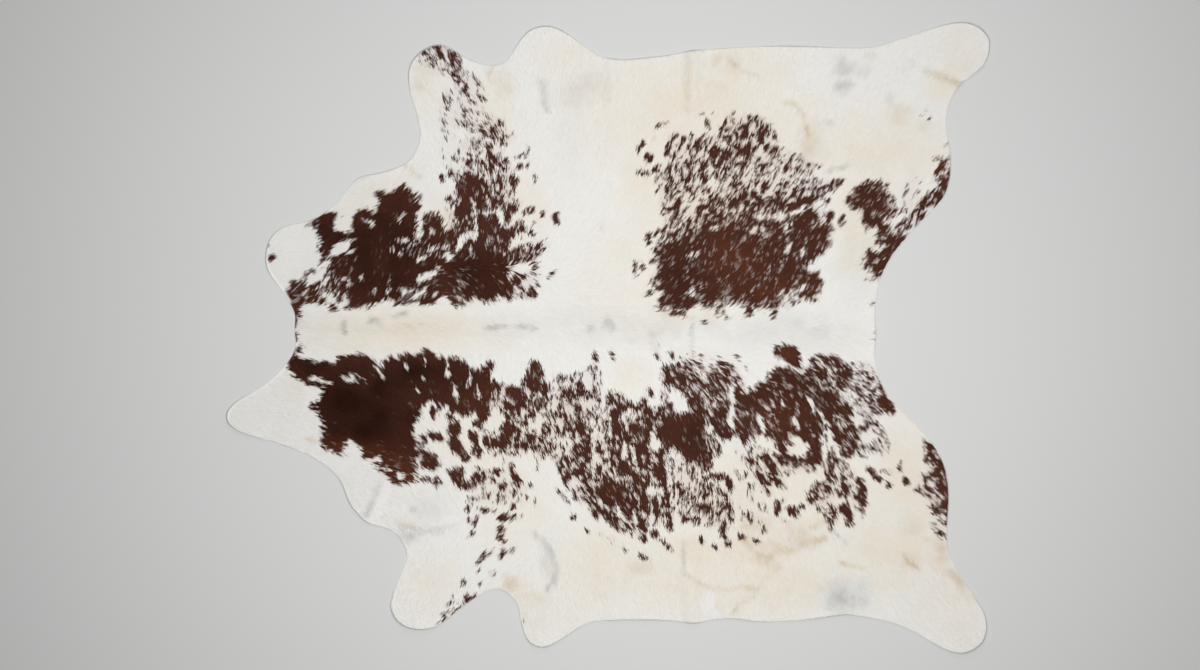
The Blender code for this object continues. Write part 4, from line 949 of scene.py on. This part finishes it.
# Thin marks, such as healed scratches, and painted shade along creases: the tint that each takes,
# its width and how strong it is, and the line it runs along, in centimetres
STROKES = table(
    "tint wide strength points",
    ("grey", 1.4, 0.22, ((-20.8, 77.5), (-19.2, 77), (-19.8, 74), (-19.4, 71), (-18.4, 68.5))),
    ("grey", 1.6, 0.32, (
        (-22.5, -59), (-19, -62), (-16.6, -66), (-15.6, -70), (-16.2, -73.5), (-18.4, -75.8))),
    # painted shade in the crease of the back fold at the neck
    ("grey", 1.2, 0.4, ((-37, 3), (-32, 3.5), (-27, 3.4), (-22.5, 2.9))),
    ("grey", 1.2, 0.5, ((-26.5, 3.5), (-22.4, 3))),
    # painted shade in the crease of the near cheek fold
    ("grey", 1.1, 0.22, ((-69, -44.5), (-73, -53.5))),
    # painted shade in the crease of the near armpit fold
    ("grey", 0.9, 0.28, ((-61.5, -57), (-55, -58), (-46, -56.3))),
    ("grey", 0.9, 0.28, ((-63, -60), (-55, -58.8), (-50, -58.8))),
    ("grey", 1, 0.3, ((22.8, -62), (22.8, -71))),
    ("grey", 0.9, 0.4, ((67, -57), (72, -62))),
    # painted shade in the crease across the back, in line with the belly folds
    ("grey", 0.9, 0.3, ((25.4, 6), (25.3, -6))),
    ("grey", 0.8, 0.3, ((70, -77.5), (71.5, -76.5), (74, -78.2))),
    ("tan", 0.9, 0.42, (
        (22.8, -70.5), (26, -73), (31, -75.5), (37, -76), (40, -75), (45, -76), (46.5, -73.5))),
    ("tan", 0.9, 0.35, ((37.5, -83.5), (39.5, -80.5), (44, -78), (47, -73), (52, -69))),
    ("tan", 1.5, 0.4, (
        (41, -61.5), (45, -65), (47, -67.5), (51, -64.5), (56, -64), (61, -61), (66, -60.5))),
    ("tan", 1.6, 0.24, ((24.2, 87), (24.1, 68))),
    ("tan", 1.1, 0.42, ((53.3, 70.8), (56.5, 70.7), (58.6, 68), (59.4, 64.5), (60.5, 61))),
    ("tan", 1, 0.5, ((36, 84.5), (40, 80.8), (45, 79.2))),
    ("tan", 1.2, 0.34, ((-61.3, 51.8), (-57, 48.4))),
    ("tan", 1, 0.5, ((-34.8, 83), (-36, 78.5))),
    ("tan", 0.9, 0.35, ((-60, 75.4), (-55.5, 75.6))),
    ("tan", 1.3, 0.45, ((96, 80.4), (101, 78.5), (105.3, 76.8))),
    ("tan", 1, 0.5, ((70.5, -68), (77, -69.3))),
    ("tan", 1, 0.5, ((89, -65), (91, -68), (94, -69.5))),
)
STROKE_CORE = 0.2  # part of the width over which a thin mark is full
STROKE_CLOUDS = 0.012  # size of the clouds that break thin marks up
CLOUD_ROOM = (2.2, 2.6)  # a little more than the lattice's own height and width


def tinted(rows):
    """A soft tint over the lattice: the strongest of its ovals, each faded to nothing outwards."""
    field = np.zeros_like(plan_x)
    for row in rows:
        part = near_oval(row, TINT_RIM)
        cover = row.strength * oval(plan_x[part], plan_y[part], row, TINT_CORE, TINT_RIM)
        field[part] = np.where(np.abs(cover) > np.abs(field[part]), cover, field[part])
    return field


def stroked(tint):
    """The same for the thin marks of one tint: full on each line, and faded out at its width."""
    field = np.zeros_like(plan_x)
    for stroke in STROKES:
        lines = zip(stroke.points, stroke.points[1:]) if stroke.tint == tint else ()
        for start, end in lines:
            (x, y), run = np.add(start, end) / 2 * CM, np.hypot(*np.subtract(end, start)) * CM
            part = near(x, y, run / 2 + stroke.wide * CM)
            away, _ = to_line(plan_x[part], plan_y[part], *start, *end)
            fade = smoothstep(away / CM, STROKE_CORE * stroke.wide, stroke.wide)
            field[part] = np.maximum(field[part], stroke.strength * (1 - fade))
    return broken_up(field, 0.3, cloudy(drift_chance, STROKE_CLOUDS))


def cloudy(random, size):
    """Soft random clouds from 0 to 1 over the lattice: random values on a coarse net of the size,
    with a smooth step between neighbours."""
    net = random.random([int(room / size) + 3 for room in CLOUD_ROOM])
    return between(net, (plan_x - COLUMNS[0]) / size, (plan_y - ROWS[0]) / size,
                   ease=lambda part: smoothstep(part, 0, 1))


def clouds(random, *layers):
    """Clouds of several sizes over each other, each with its part of the whole."""
    return sum(part * cloudy(random, size) for size, part in layers)


def wandering(random, *layers):
    """How far east and north each lattice point is read out of its place: for each layer of a
    size and a reach, clouds of that size that run from half the reach back to half of it on."""
    return [sum(reach * (cloudy(random, size) - 0.5) for size, reach in layers)
            for _ in ("east", "north")]


def adrift(field):
    """The same tints with ragged outlines: each place takes the tint from a place near it."""
    return read_off(field, plan_x + drift[0], plan_y + drift[1])


def broken_up(field, gaps, cloud):
    """A field made patchy by clouds: times gaps where they are 0, and 2 - gaps where they are 1."""
    return field * blend((gaps, 2 - gaps), cloud)


chance = np.random.default_rng(11)
drift_chance = np.random.default_rng(12)
drift = wandering(drift_chance, (0.06, 0.035), (0.02, 0.018))
# Nothing grows to a clean line: every outline of brown is read a little out of its place
ragged = wandering(chance, (0.022, 0.008), (0.009, 0.007))
ragged_x, ragged_y = plan_x + ragged[0], plan_y + ragged[1]

dark = np.clip(broken_up(tinted(DARK), 0.6, cloudy(chance, 0.05)), 0, 1)
solid = blend(FULLEST, dark)
share_in_patch = patch_share() * solid
kept, added = dab_share()
added *= solid
thin, lean = tinted(THIN), tinted(LEAN)
flow_east, flow_north = heading_at(plan_x, plan_y)

# Besides real marks, the tan and grey carry painted shade in a few folds, the rust a painted sheen,
# and a gap in the cream a painted highlight
cream = broken_up(
    adrift(tinted(CREAM_AND_HIGHLIGHT)), 0.45, clouds(chance, (0.09, 0.5), (0.04, 0.3), (0.02, 0.2)))
tan = broken_up(
    adrift(tinted(TAN_AND_SHADE)) + stroked("tan"), 0.2, clouds(chance, (0.05, 0.5), (0.02, 0.5)))
grey = broken_up(
    adrift(tinted(GREY_AND_SHADE)) + stroked("grey"), 0.3, clouds(chance, (0.04, 0.5), (0.018, 0.5)))
rust = broken_up(tinted(RUST_AND_SHEEN), 0.5, cloudy(chance, 0.03))
all_tints = {"cream": cream, "tan": tan, "grey": grey, "rust": rust, "dark": dark}
TINTS = {name: np.clip(field, 0, 1) for name, field in all_tints.items()}

# Hairs of one colour hang together: strands gather in locks, and locks in clumps. Each kind of
# bundle has its middles on a jittered net of its pitch, and counts as long and wide as this
Bundle = namedtuple("Bundle", "pitch long wide")
CLUMP = Bundle(0.022, 0.028, 0.015)
LOCK = Bundle(0.0086, 0.0130, 0.0058)
STRAND = Bundle(0.0044, 0.0110, 0.0023)


def jittered_net(random, kind):
    """The bundles' middles, one at a random place in each cell of a square net, and two numbers
    from the bell curve for each: its luck, and how far its colours run ahead."""
    columns = int((COLUMNS[-1] - COLUMNS[0]) / kind.pitch) + 1
    rows = int((ROWS[-1] - ROWS[0]) / kind.pitch) + 1
    jitter = random.random((2, rows, columns))
    x = COLUMNS[0] + (np.arange(columns)[None, :] + jitter[0]) * kind.pitch
    y = ROWS[0] + (np.arange(rows)[:, None] + jitter[1]) * kind.pitch
    return x, y, *random.standard_normal((2, rows, columns))


def bundle_of(kind, net, x, y, east, north):
    """The bundle that each hair grows in, as its x, y, luck and lead: of the middles round it the
    nearest, where a step along the hair counts as 1 / long of itself and one across it as
    1 / wide."""
    rows, columns = net[0].shape
    column = ((x - COLUMNS[0]) / kind.pitch).astype(int)
    row = ((y - ROWS[0]) / kind.pitch).astype(int)
    nearest, bundle = np.full(x.shape, np.inf), np.zeros(x.shape, int)
    for down in range(-2, 3):
        for aside in range(-2, 3):
            i = np.clip(column + aside, 0, columns - 1)
            j = np.clip(row + down, 0, rows - 1)
            dx, dy = x - net[0][j, i], y - net[1][j, i]
            along, across = dx * east + dy * north, dy * east - dx * north
            away = (along / kind.long) ** 2 + (across / kind.wide) ** 2
            closer = away < nearest
            nearest[closer] = away[closer]
            bundle[closer] = (j * columns + i)[closer]
    return [field.ravel()[bundle] for field in net]


clumps, locks, strands = (jittered_net(chance, kind) for kind in (CLUMP, LOCK, STRAND))


# The skin takes the coat's colours on its hair side, so none shows bare between the hairs
COOL_WHITE = paint(234, 233, 230)
CREAM_WHITE = paint(231, 223, 209)
# Tan, grey and rust hair also stand for painted shade and sheen where their tables say
TAN_HAIR_AND_SHADE = paint(212, 197, 174)
GREY_HAIR_AND_SHADE = paint(174, 174, 171)
ROSY_HAIR = paint(200, 170, 160)
BROWN_HAIR = paint(75, 42, 31)
DARK_HAIR = paint(43, 19, 11)
RUST_HAIR_AND_SHEEN = paint(92, 50, 31)
PALE_SUEDE = paint(222, 206, 180)
DEEP_SUEDE = paint(196, 176, 148)
BLUSH = 0.42  # how rosy white hair is among brown
SKIN_BROWN = (0.5, 0.95)  # shares of brown where the skin starts to darken and where it is dark
SUEDE_PART = 0.6  # of the skin's thickness from below, where the cut edge shows suede


def coat_colour(shade):
    """White hair tinted cream, tan and grey where its marks say, or brown hair tinted rust and
    nearly black, and between the two for both together. Some of the tan and grey is painted shade
    in folds, the rust is partly a painted sheen, and a line kept free of cream is a painted
    highlight."""
    pale = shade.mark("cream").mixed(COOL_WHITE, CREAM_WHITE)
    pale = shade.mark("tan").mixed(pale, TAN_HAIR_AND_SHADE)
    pale = shade.mark("grey").mixed(pale, GREY_HAIR_AND_SHADE)
    pale = (shade.mark("blush") * BLUSH).mixed(pale, ROSY_HAIR)
    brown_hair = shade.mark("rust").mixed(BROWN_HAIR, RUST_HAIR_AND_SHEEN)
    brown_hair = shade.mark("dark").mixed(brown_hair, DARK_HAIR)
    return shade.mark("brown").mixed(pale, brown_hair)


def skin_material():
    """Hair side in the coat's colours; suede side and cut edge pale tan, with the suede's nap as
    a fine noise in colour and height."""
    material, shade, feed = new_material("tanned_skin", roughness=0.85, gloss=0.2)
    nap = shade.noise(scale=420.0, detail=3.0)
    patchy = shade.noise(scale=9.0, detail=4.0)
    suede = (nap * 0.5 + patchy * 0.5).fitted(0.3, 0.7).mixed(DEEP_SUEDE, PALE_SUEDE)
    feed("Base Color", shade.mark("suede").mixed(coat_colour(shade), suede))
    feed("Normal", shade.node(
        "ShaderNodeBump", {}, {"Strength": 0.25, "Distance": 0.0006, "Height": nap}))
    return material


def skin_marks(mesh):
    """The coat's colours at each point of the skin, and where the skin shows its suede."""
    spots = np.empty(len(mesh.vertices) * 3, dtype=np.float32)
    mesh.vertices.foreach_get("co", spots)
    x, y, z = spots.reshape(-1, 3).astype(float).T
    brown = smoothstep(read_off(share_in_patch * kept + added, x, y), *SKIN_BROWN)
    suede = z <= read_off(rise, x, y) + SUEDE_PART * SKIN_THICKNESS
    tints = {name: read_off(field, x, y) for name, field in TINTS.items()}
    return {"brown": brown, "blush": brown, "suede": suede, **tints}


skin = place_object("skin", skin_mesh(edge_line), skin_material())
keep_marks(skin.data, skin_marks(skin.data))
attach(skin, "root")
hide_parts("hide")

# --- The hair ----------------------------------------------------------------------------------
# Short sleek cow hair, about 25 mm long, still rooted in the skin and combed flat. Each tuft here
# stands for a few hairs that lie together: a narrow four-cornered leaf, ridged along its middle.
HAIR_LAYERS = 5
TUFT_PITCH = 0.0059  # spacing of the roots in one layer
ROOT_INSET = 0.0006  # least distance of a root from the cut
ROOT_DEPTH = 0.0004  # how deep it sits in the skin
EDGE_OVERHANG = 0.002  # hair that stands out past the cut
HAIR_LENGTH = 0.026
LENGTHS = (0.7, 1.15)  # the shortest tufts and the longest, as parts of that
TUFT_WIDTH = 0.0028
WIDTHS = (0.7, 1.3)
TIP_HEIGHT = 0.0036
HEIGHTS = (0.6, 1.2)
TUFT_RIDGE = 0.0005  # height of the ridge over the tuft's sides
TUFT_TILT = 0.00025  # how far one side stands over the other, as a rule
WIDEST = 0.45  # part of its length at which a tuft is widest
SEEN = 0.6  # part of its length at which it shows most, and takes its colours
GATHERED = 0.35  # part of the way that its tip bends to the middle line of its lock
LOCK_SWING, TUFT_SWING = 5, 6  # degrees that a lock and a tuft lie out of the flow, as a rule
SHORTEST = 0.2  # part of its length that trimming leaves at least

# A pair's first value is for coarse specks, which are whole locks in loose clumps, and its second
# for fine ones, which are single strands
CLUMP_PART = (0.40, 0.12)  # of a tuft's luck that comes from its clump
STRAND_PART = (0.06, 0.56)  # and from its strand: the rest is its lock's
ROAN = (0.06, 0.22)  # part of the tufts that are in-between
FULL_IS_FINE = 0.75  # how fine the specks are in a full patch
SPECKLE = 1.2  # above 1, a half-brown place shows less brown than its share says
LOCK_LEAD = 0.0045  # how far a lock's colours run ahead of or behind their place, as a rule
STRAND_LEAD = 0.003
DAB_LEAD = 0.0024  # the same for the strands at a dab, which is small
NEARLY_FULL = (0.78, 0.99)  # shares of brown between which the white left turns to single strands
ROOT_DARKER = (0.05, 0.25)  # how much darker its root makes a white tuft, and a brown one
TONES = (0.08, 0.53)  # and how far tufts of either colour differ in brightness
BELL = 1.702  # 1 / (1 + exp(-BELL * value)) is near enough the area of the bell curve up to a value


def hair_roots(random):
    """Roots inside the cut edge, one at a random place in each cell of a square net, and the
    cell's column and row."""
    columns = np.arange(int((COLUMNS[-1] - COLUMNS[0]) / TUFT_PITCH))
    rows = np.arange(int((ROWS[-1] - ROWS[0]) / TUFT_PITCH))
    cells = np.stack(np.meshgrid(columns, rows), axis=-1).reshape(-1, 2)
    x = COLUMNS[0] + (cells[:, 0] + random.random(len(cells))) * TUFT_PITCH
    y = ROWS[0] + (cells[:, 1] + random.random(len(cells))) * TUFT_PITCH
    inside = read_off(inside_by, x, y) > ROOT_INSET
    return x[inside], y[inside], cells[inside]


def length_kept(x, y, tip_x, tip_y):
    """The part of its length that each tuft keeps: one that would stand out past the cut is
    trimmed back to the overhang."""
    start, out = read_off(inside_by, x, y), read_off(inside_by, tip_x, tip_y)
    part = np.where(out < -EDGE_OVERHANG, (start + EDGE_OVERHANG) / (start - out), 1)
    return np.clip(part, SHORTEST, 1)


def tuft_corners(random, x, y, run_x, run_y, height):
    """A tuft's root, its two sides at the widest part and its tip, as a leaf that rises from root
    to tip over the skin."""
    count, run = len(x), np.hypot(run_x, run_y)
    half = TUFT_WIDTH / 2 * random.uniform(*WIDTHS, count)
    tip_up = height * random.uniform(*HEIGHTS, count)
    sides_up = WIDEST * tip_up - TUFT_RIDGE
    tilt = random.normal(0, TUFT_TILT, count)

    def corner(along, aside, up):
        return np.stack(np.broadcast_arrays(x + along * run_x - aside * run_y / run,
                                            y + along * run_y + aside * run_x / run, up), axis=-1)

    corners = np.stack([corner(0, 0, -ROOT_DEPTH), corner(WIDEST, -half, sides_up - tilt),
                        corner(1, 0, tip_up), corner(WIDEST, half, sides_up + tilt)], axis=1)
    corners[..., 2] += read_off(rise, corners[..., 0], corners[..., 1]) + SKIN_THICKNESS
    return corners


def is_brown(share, fine, lean, clump_luck, lock_luck, strand_luck):
    """1 for a brown tuft, 0 for a pale one, and between for a few of both hairs. Its luck is the
    bell-curve sum of its bundles', and it is brown where that falls in the lowest part that the
    share of brown stands for. The lean is taken off all luck, so more of it makes more brown."""
    clump_part, strand_part = blend(CLUMP_PART, fine), blend(STRAND_PART, fine)
    luck = (np.sqrt(clump_part) * clump_luck + np.sqrt(strand_part) * strand_luck
            + np.sqrt(1 - clump_part - strand_part) * lock_luck) - lean
    roan = blend(ROAN, fine)
    part = share ** SPECKLE * (1 + roan) - 0.5 * roan
    return np.clip(0.5 + (part - 1 / (1 + np.exp(-BELL * luck))) / roan, 0, 1)


def hair_layer(number):
    """One layer of tufts: their corners, the marks of each, and the cells of their roots. Each
    runs from its root along the coat's flow, a little out of line with its neighbours, and bends
    towards the middle of its lock."""
    random = np.random.default_rng(100 + number)
    x, y, cells = hair_roots(random)
    count = len(x)
    east, north = read_off(flow_east, x, y), read_off(flow_north, x, y)
    size = np.hypot(east, north)
    east, north = east / size, north / size
    length = HAIR_LENGTH * random.uniform(*LENGTHS, count)
    seen_x, seen_y = x + SEEN * length * east, y + SEEN * length * north
    clump, lock, strand = (
        bundle_of(kind, net, seen_x, seen_y, east, north)
        for kind, net in ((CLUMP, clumps), (LOCK, locks), (STRAND, strands)))
    lock_x, lock_y, lock_luck, lock_lead = lock
    strand_luck, strand_lead = strand[2:]
    swing = np.radians(LOCK_SWING * lock_luck + random.normal(0, TUFT_SWING, count))
    along_x = east * np.cos(swing) - north * np.sin(swing)
    along_y = north * np.cos(swing) + east * np.sin(swing)
    off_line = GATHERED * ((seen_y - lock_y) * east - (seen_x - lock_x) * north)
    run_x, run_y = length * along_x + off_line * north, length * along_y - off_line * east
    part = length_kept(x, y, x + run_x, y + run_y)
    corners = tuft_corners(random, x, y, part * run_x, part * run_y, part * TIP_HEIGHT)

    ahead = LOCK_LEAD * lock_lead + STRAND_LEAD * strand_lead
    share = read_off(share_in_patch, seen_x - ahead * east, seen_y - ahead * north)
    seen_x, seen_y = seen_x - DAB_LEAD * strand_lead * east, seen_y - DAB_LEAD * strand_lead * north
    share = share * read_off(kept, seen_x, seen_y) + read_off(added, seen_x, seen_y)
    full = smoothstep(share, *NEARLY_FULL)
    fine = np.maximum(FULL_IS_FINE * full, read_off(thin, seen_x, seen_y))
    leaning = read_off(lean, seen_x, seen_y)
    marks = {name: read_off(field, seen_x, seen_y) for name, field in TINTS.items()}
    marks["brown"] = is_brown(share, fine, leaning, clump[2], lock_luck, strand_luck)
    marks["tone"] = 0.5 * random.random(count) + 0.5 / (1 + np.exp(-BELL * strand_luck))
    marks["blush"] = share
    return corners, marks, cells


def hair_mesh(number):
    """The layer's tufts as one mesh of two triangles each. Its UV map gives every tuft a small
    square of its own where its root lies in the plan."""
    corners, marks, cells = hair_layer(number)
    count = len(corners)
    first = 4 * np.arange(count)[:, None]
    faces = (first + np.array([0, 1, 2, 0, 2, 3])).reshape(-1, 3)
    mesh = bpy.data.meshes.new(f"hair-layer-{number}")
    mesh.vertices.add(4 * count)
    mesh.vertices.foreach_set("co", corners.astype(np.float32).ravel())
    mesh.loops.add(faces.size)
    mesh.loops.foreach_set("vertex_index", faces.astype(np.int32).ravel())
    mesh.polygons.add(len(faces))
    mesh.polygons.foreach_set("loop_start", np.arange(0, faces.size, 3, dtype=np.int32))
    mesh.update(calc_edges=True)
    mesh.shade_smooth()
    keep_marks(mesh, {name: np.repeat(values, 4) for name, values in marks.items()})
    keep_marks(mesh, {"along": np.tile([0, WIDEST, 1, WIDEST], count)})
    square = np.array([(0.5, 0.08), (0.92, 0.5), (0.5, 0.92), (0.08, 0.5)])  # of a cell
    flat = (cells[:, None, :] + square).reshape(-1, 2)[faces.ravel()] / (cells[:, 0].max() + 1)
    layer = mesh.uv_layers.new(name="OFBake")
    layer.data.foreach_set("uv", flat.astype(np.float32).ravel())
    return mesh


def hair_material():
    """Each tuft in its lock's colour, a little lighter or darker than the next, and darker
    towards its root."""
    material, shade, feed = new_material("cow_hair", roughness=0.62, gloss=0.05)
    brown = shade.mark("brown")
    to_root = (1 - shade.mark("along")) * blend(ROOT_DARKER, brown)
    depth = 1 - to_root + (shade.mark("tone") - 0.5) * blend(TONES, brown)
    tone = shade.node("ShaderNodeCombineXYZ", {}, {"X": depth, "Y": depth, "Z": depth})
    feed("Base Color", shade.node(
        "ShaderNodeVectorMath", {"operation": "MULTIPLY"}, {0: coat_colour(shade), 1: tone}))
    return material


hair = hair_material()
for number in range(1, HAIR_LAYERS + 1):
    layer = place_object(f"hair-layer-{number}", hair_mesh(number), hair)
    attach(layer, "root")

# --- The floor, light and camera ---------------------------------------------------------------
# A plain pale studio floor, big soft lights overhead that fall off a little towards the corners,
# and a camera straight above the rug with its neck to the left.
FLOOR_HALF = 6.0
FLOOR_DROP = 0.0006  # just under the rug's own level
VIEW_CENTRE = (-0.024, 0.009)
VIEW_WIDTH = 3.631  # metres of floor across the frame
CAMERA_HEIGHT = 6.0
FILM_WIDTH = 36.0  # millimetres


def floor_mesh():
    """A flat square."""
    corners = [(FLOOR_HALF * x, FLOOR_HALF * y, -FLOOR_DROP)
               for x, y in ((-1, -1), (1, -1), (1, 1), (-1, 1))]
    mesh = bpy.data.meshes.new("floor")
    mesh.from_pydata(corners, [], [(0, 1, 2, 3)])
    return mesh


def floor_material():
    """Matt pale grey paint with faint wide clouds."""
    material, shade, feed = new_material("pale_floor", roughness=0.9, gloss=0.1)
    cloud = shade.noise(scale=0.6, detail=2.0)
    feed("Base Color", cloud.mixed(paint(211, 212, 213), paint(215, 215, 214)))
    return material


def soft_light(name, place, size, power, colour):
    """A square area light that faces the middle of the rug."""
    light = bpy.data.lights.new(name, "AREA")
    light.shape, light.size, light.energy, light.color = "SQUARE", size, power, colour
    item = place_object(name, light)
    item.location = place
    item.rotation_euler = (-Vector(place)).to_track_quat("-Z", "Y").to_euler()
    item.visible_camera = False


floor = place_object("floor", floor_mesh(), floor_material())

soft_light("overhead", place=(0.15, -0.05, 3.5), size=1.8, power=125, colour=(1.0, 0.995, 0.98))
soft_light("far-side", place=(0.8, 4.2, 3.4), size=2.0, power=34, colour=(1.0, 1.0, 1.0))

world = bpy.data.worlds.new("studio")
world.use_nodes = True
world.node_tree.nodes["Background"].inputs["Color"].default_value = (0.98, 0.99, 1.0, 1.0)
world.node_tree.nodes["Background"].inputs["Strength"].default_value = 0.07
bpy.context.scene.world = world
bpy.context.scene.view_settings.view_transform = "Standard"

lens = bpy.data.cameras.new("camera")
lens.sensor_width = FILM_WIDTH
lens.lens = FILM_WIDTH * CAMERA_HEIGHT / VIEW_WIDTH
camera = place_object("camera", lens)
camera.location = (*VIEW_CENTRE, CAMERA_HEIGHT)
bpy.context.scene.camera = camera
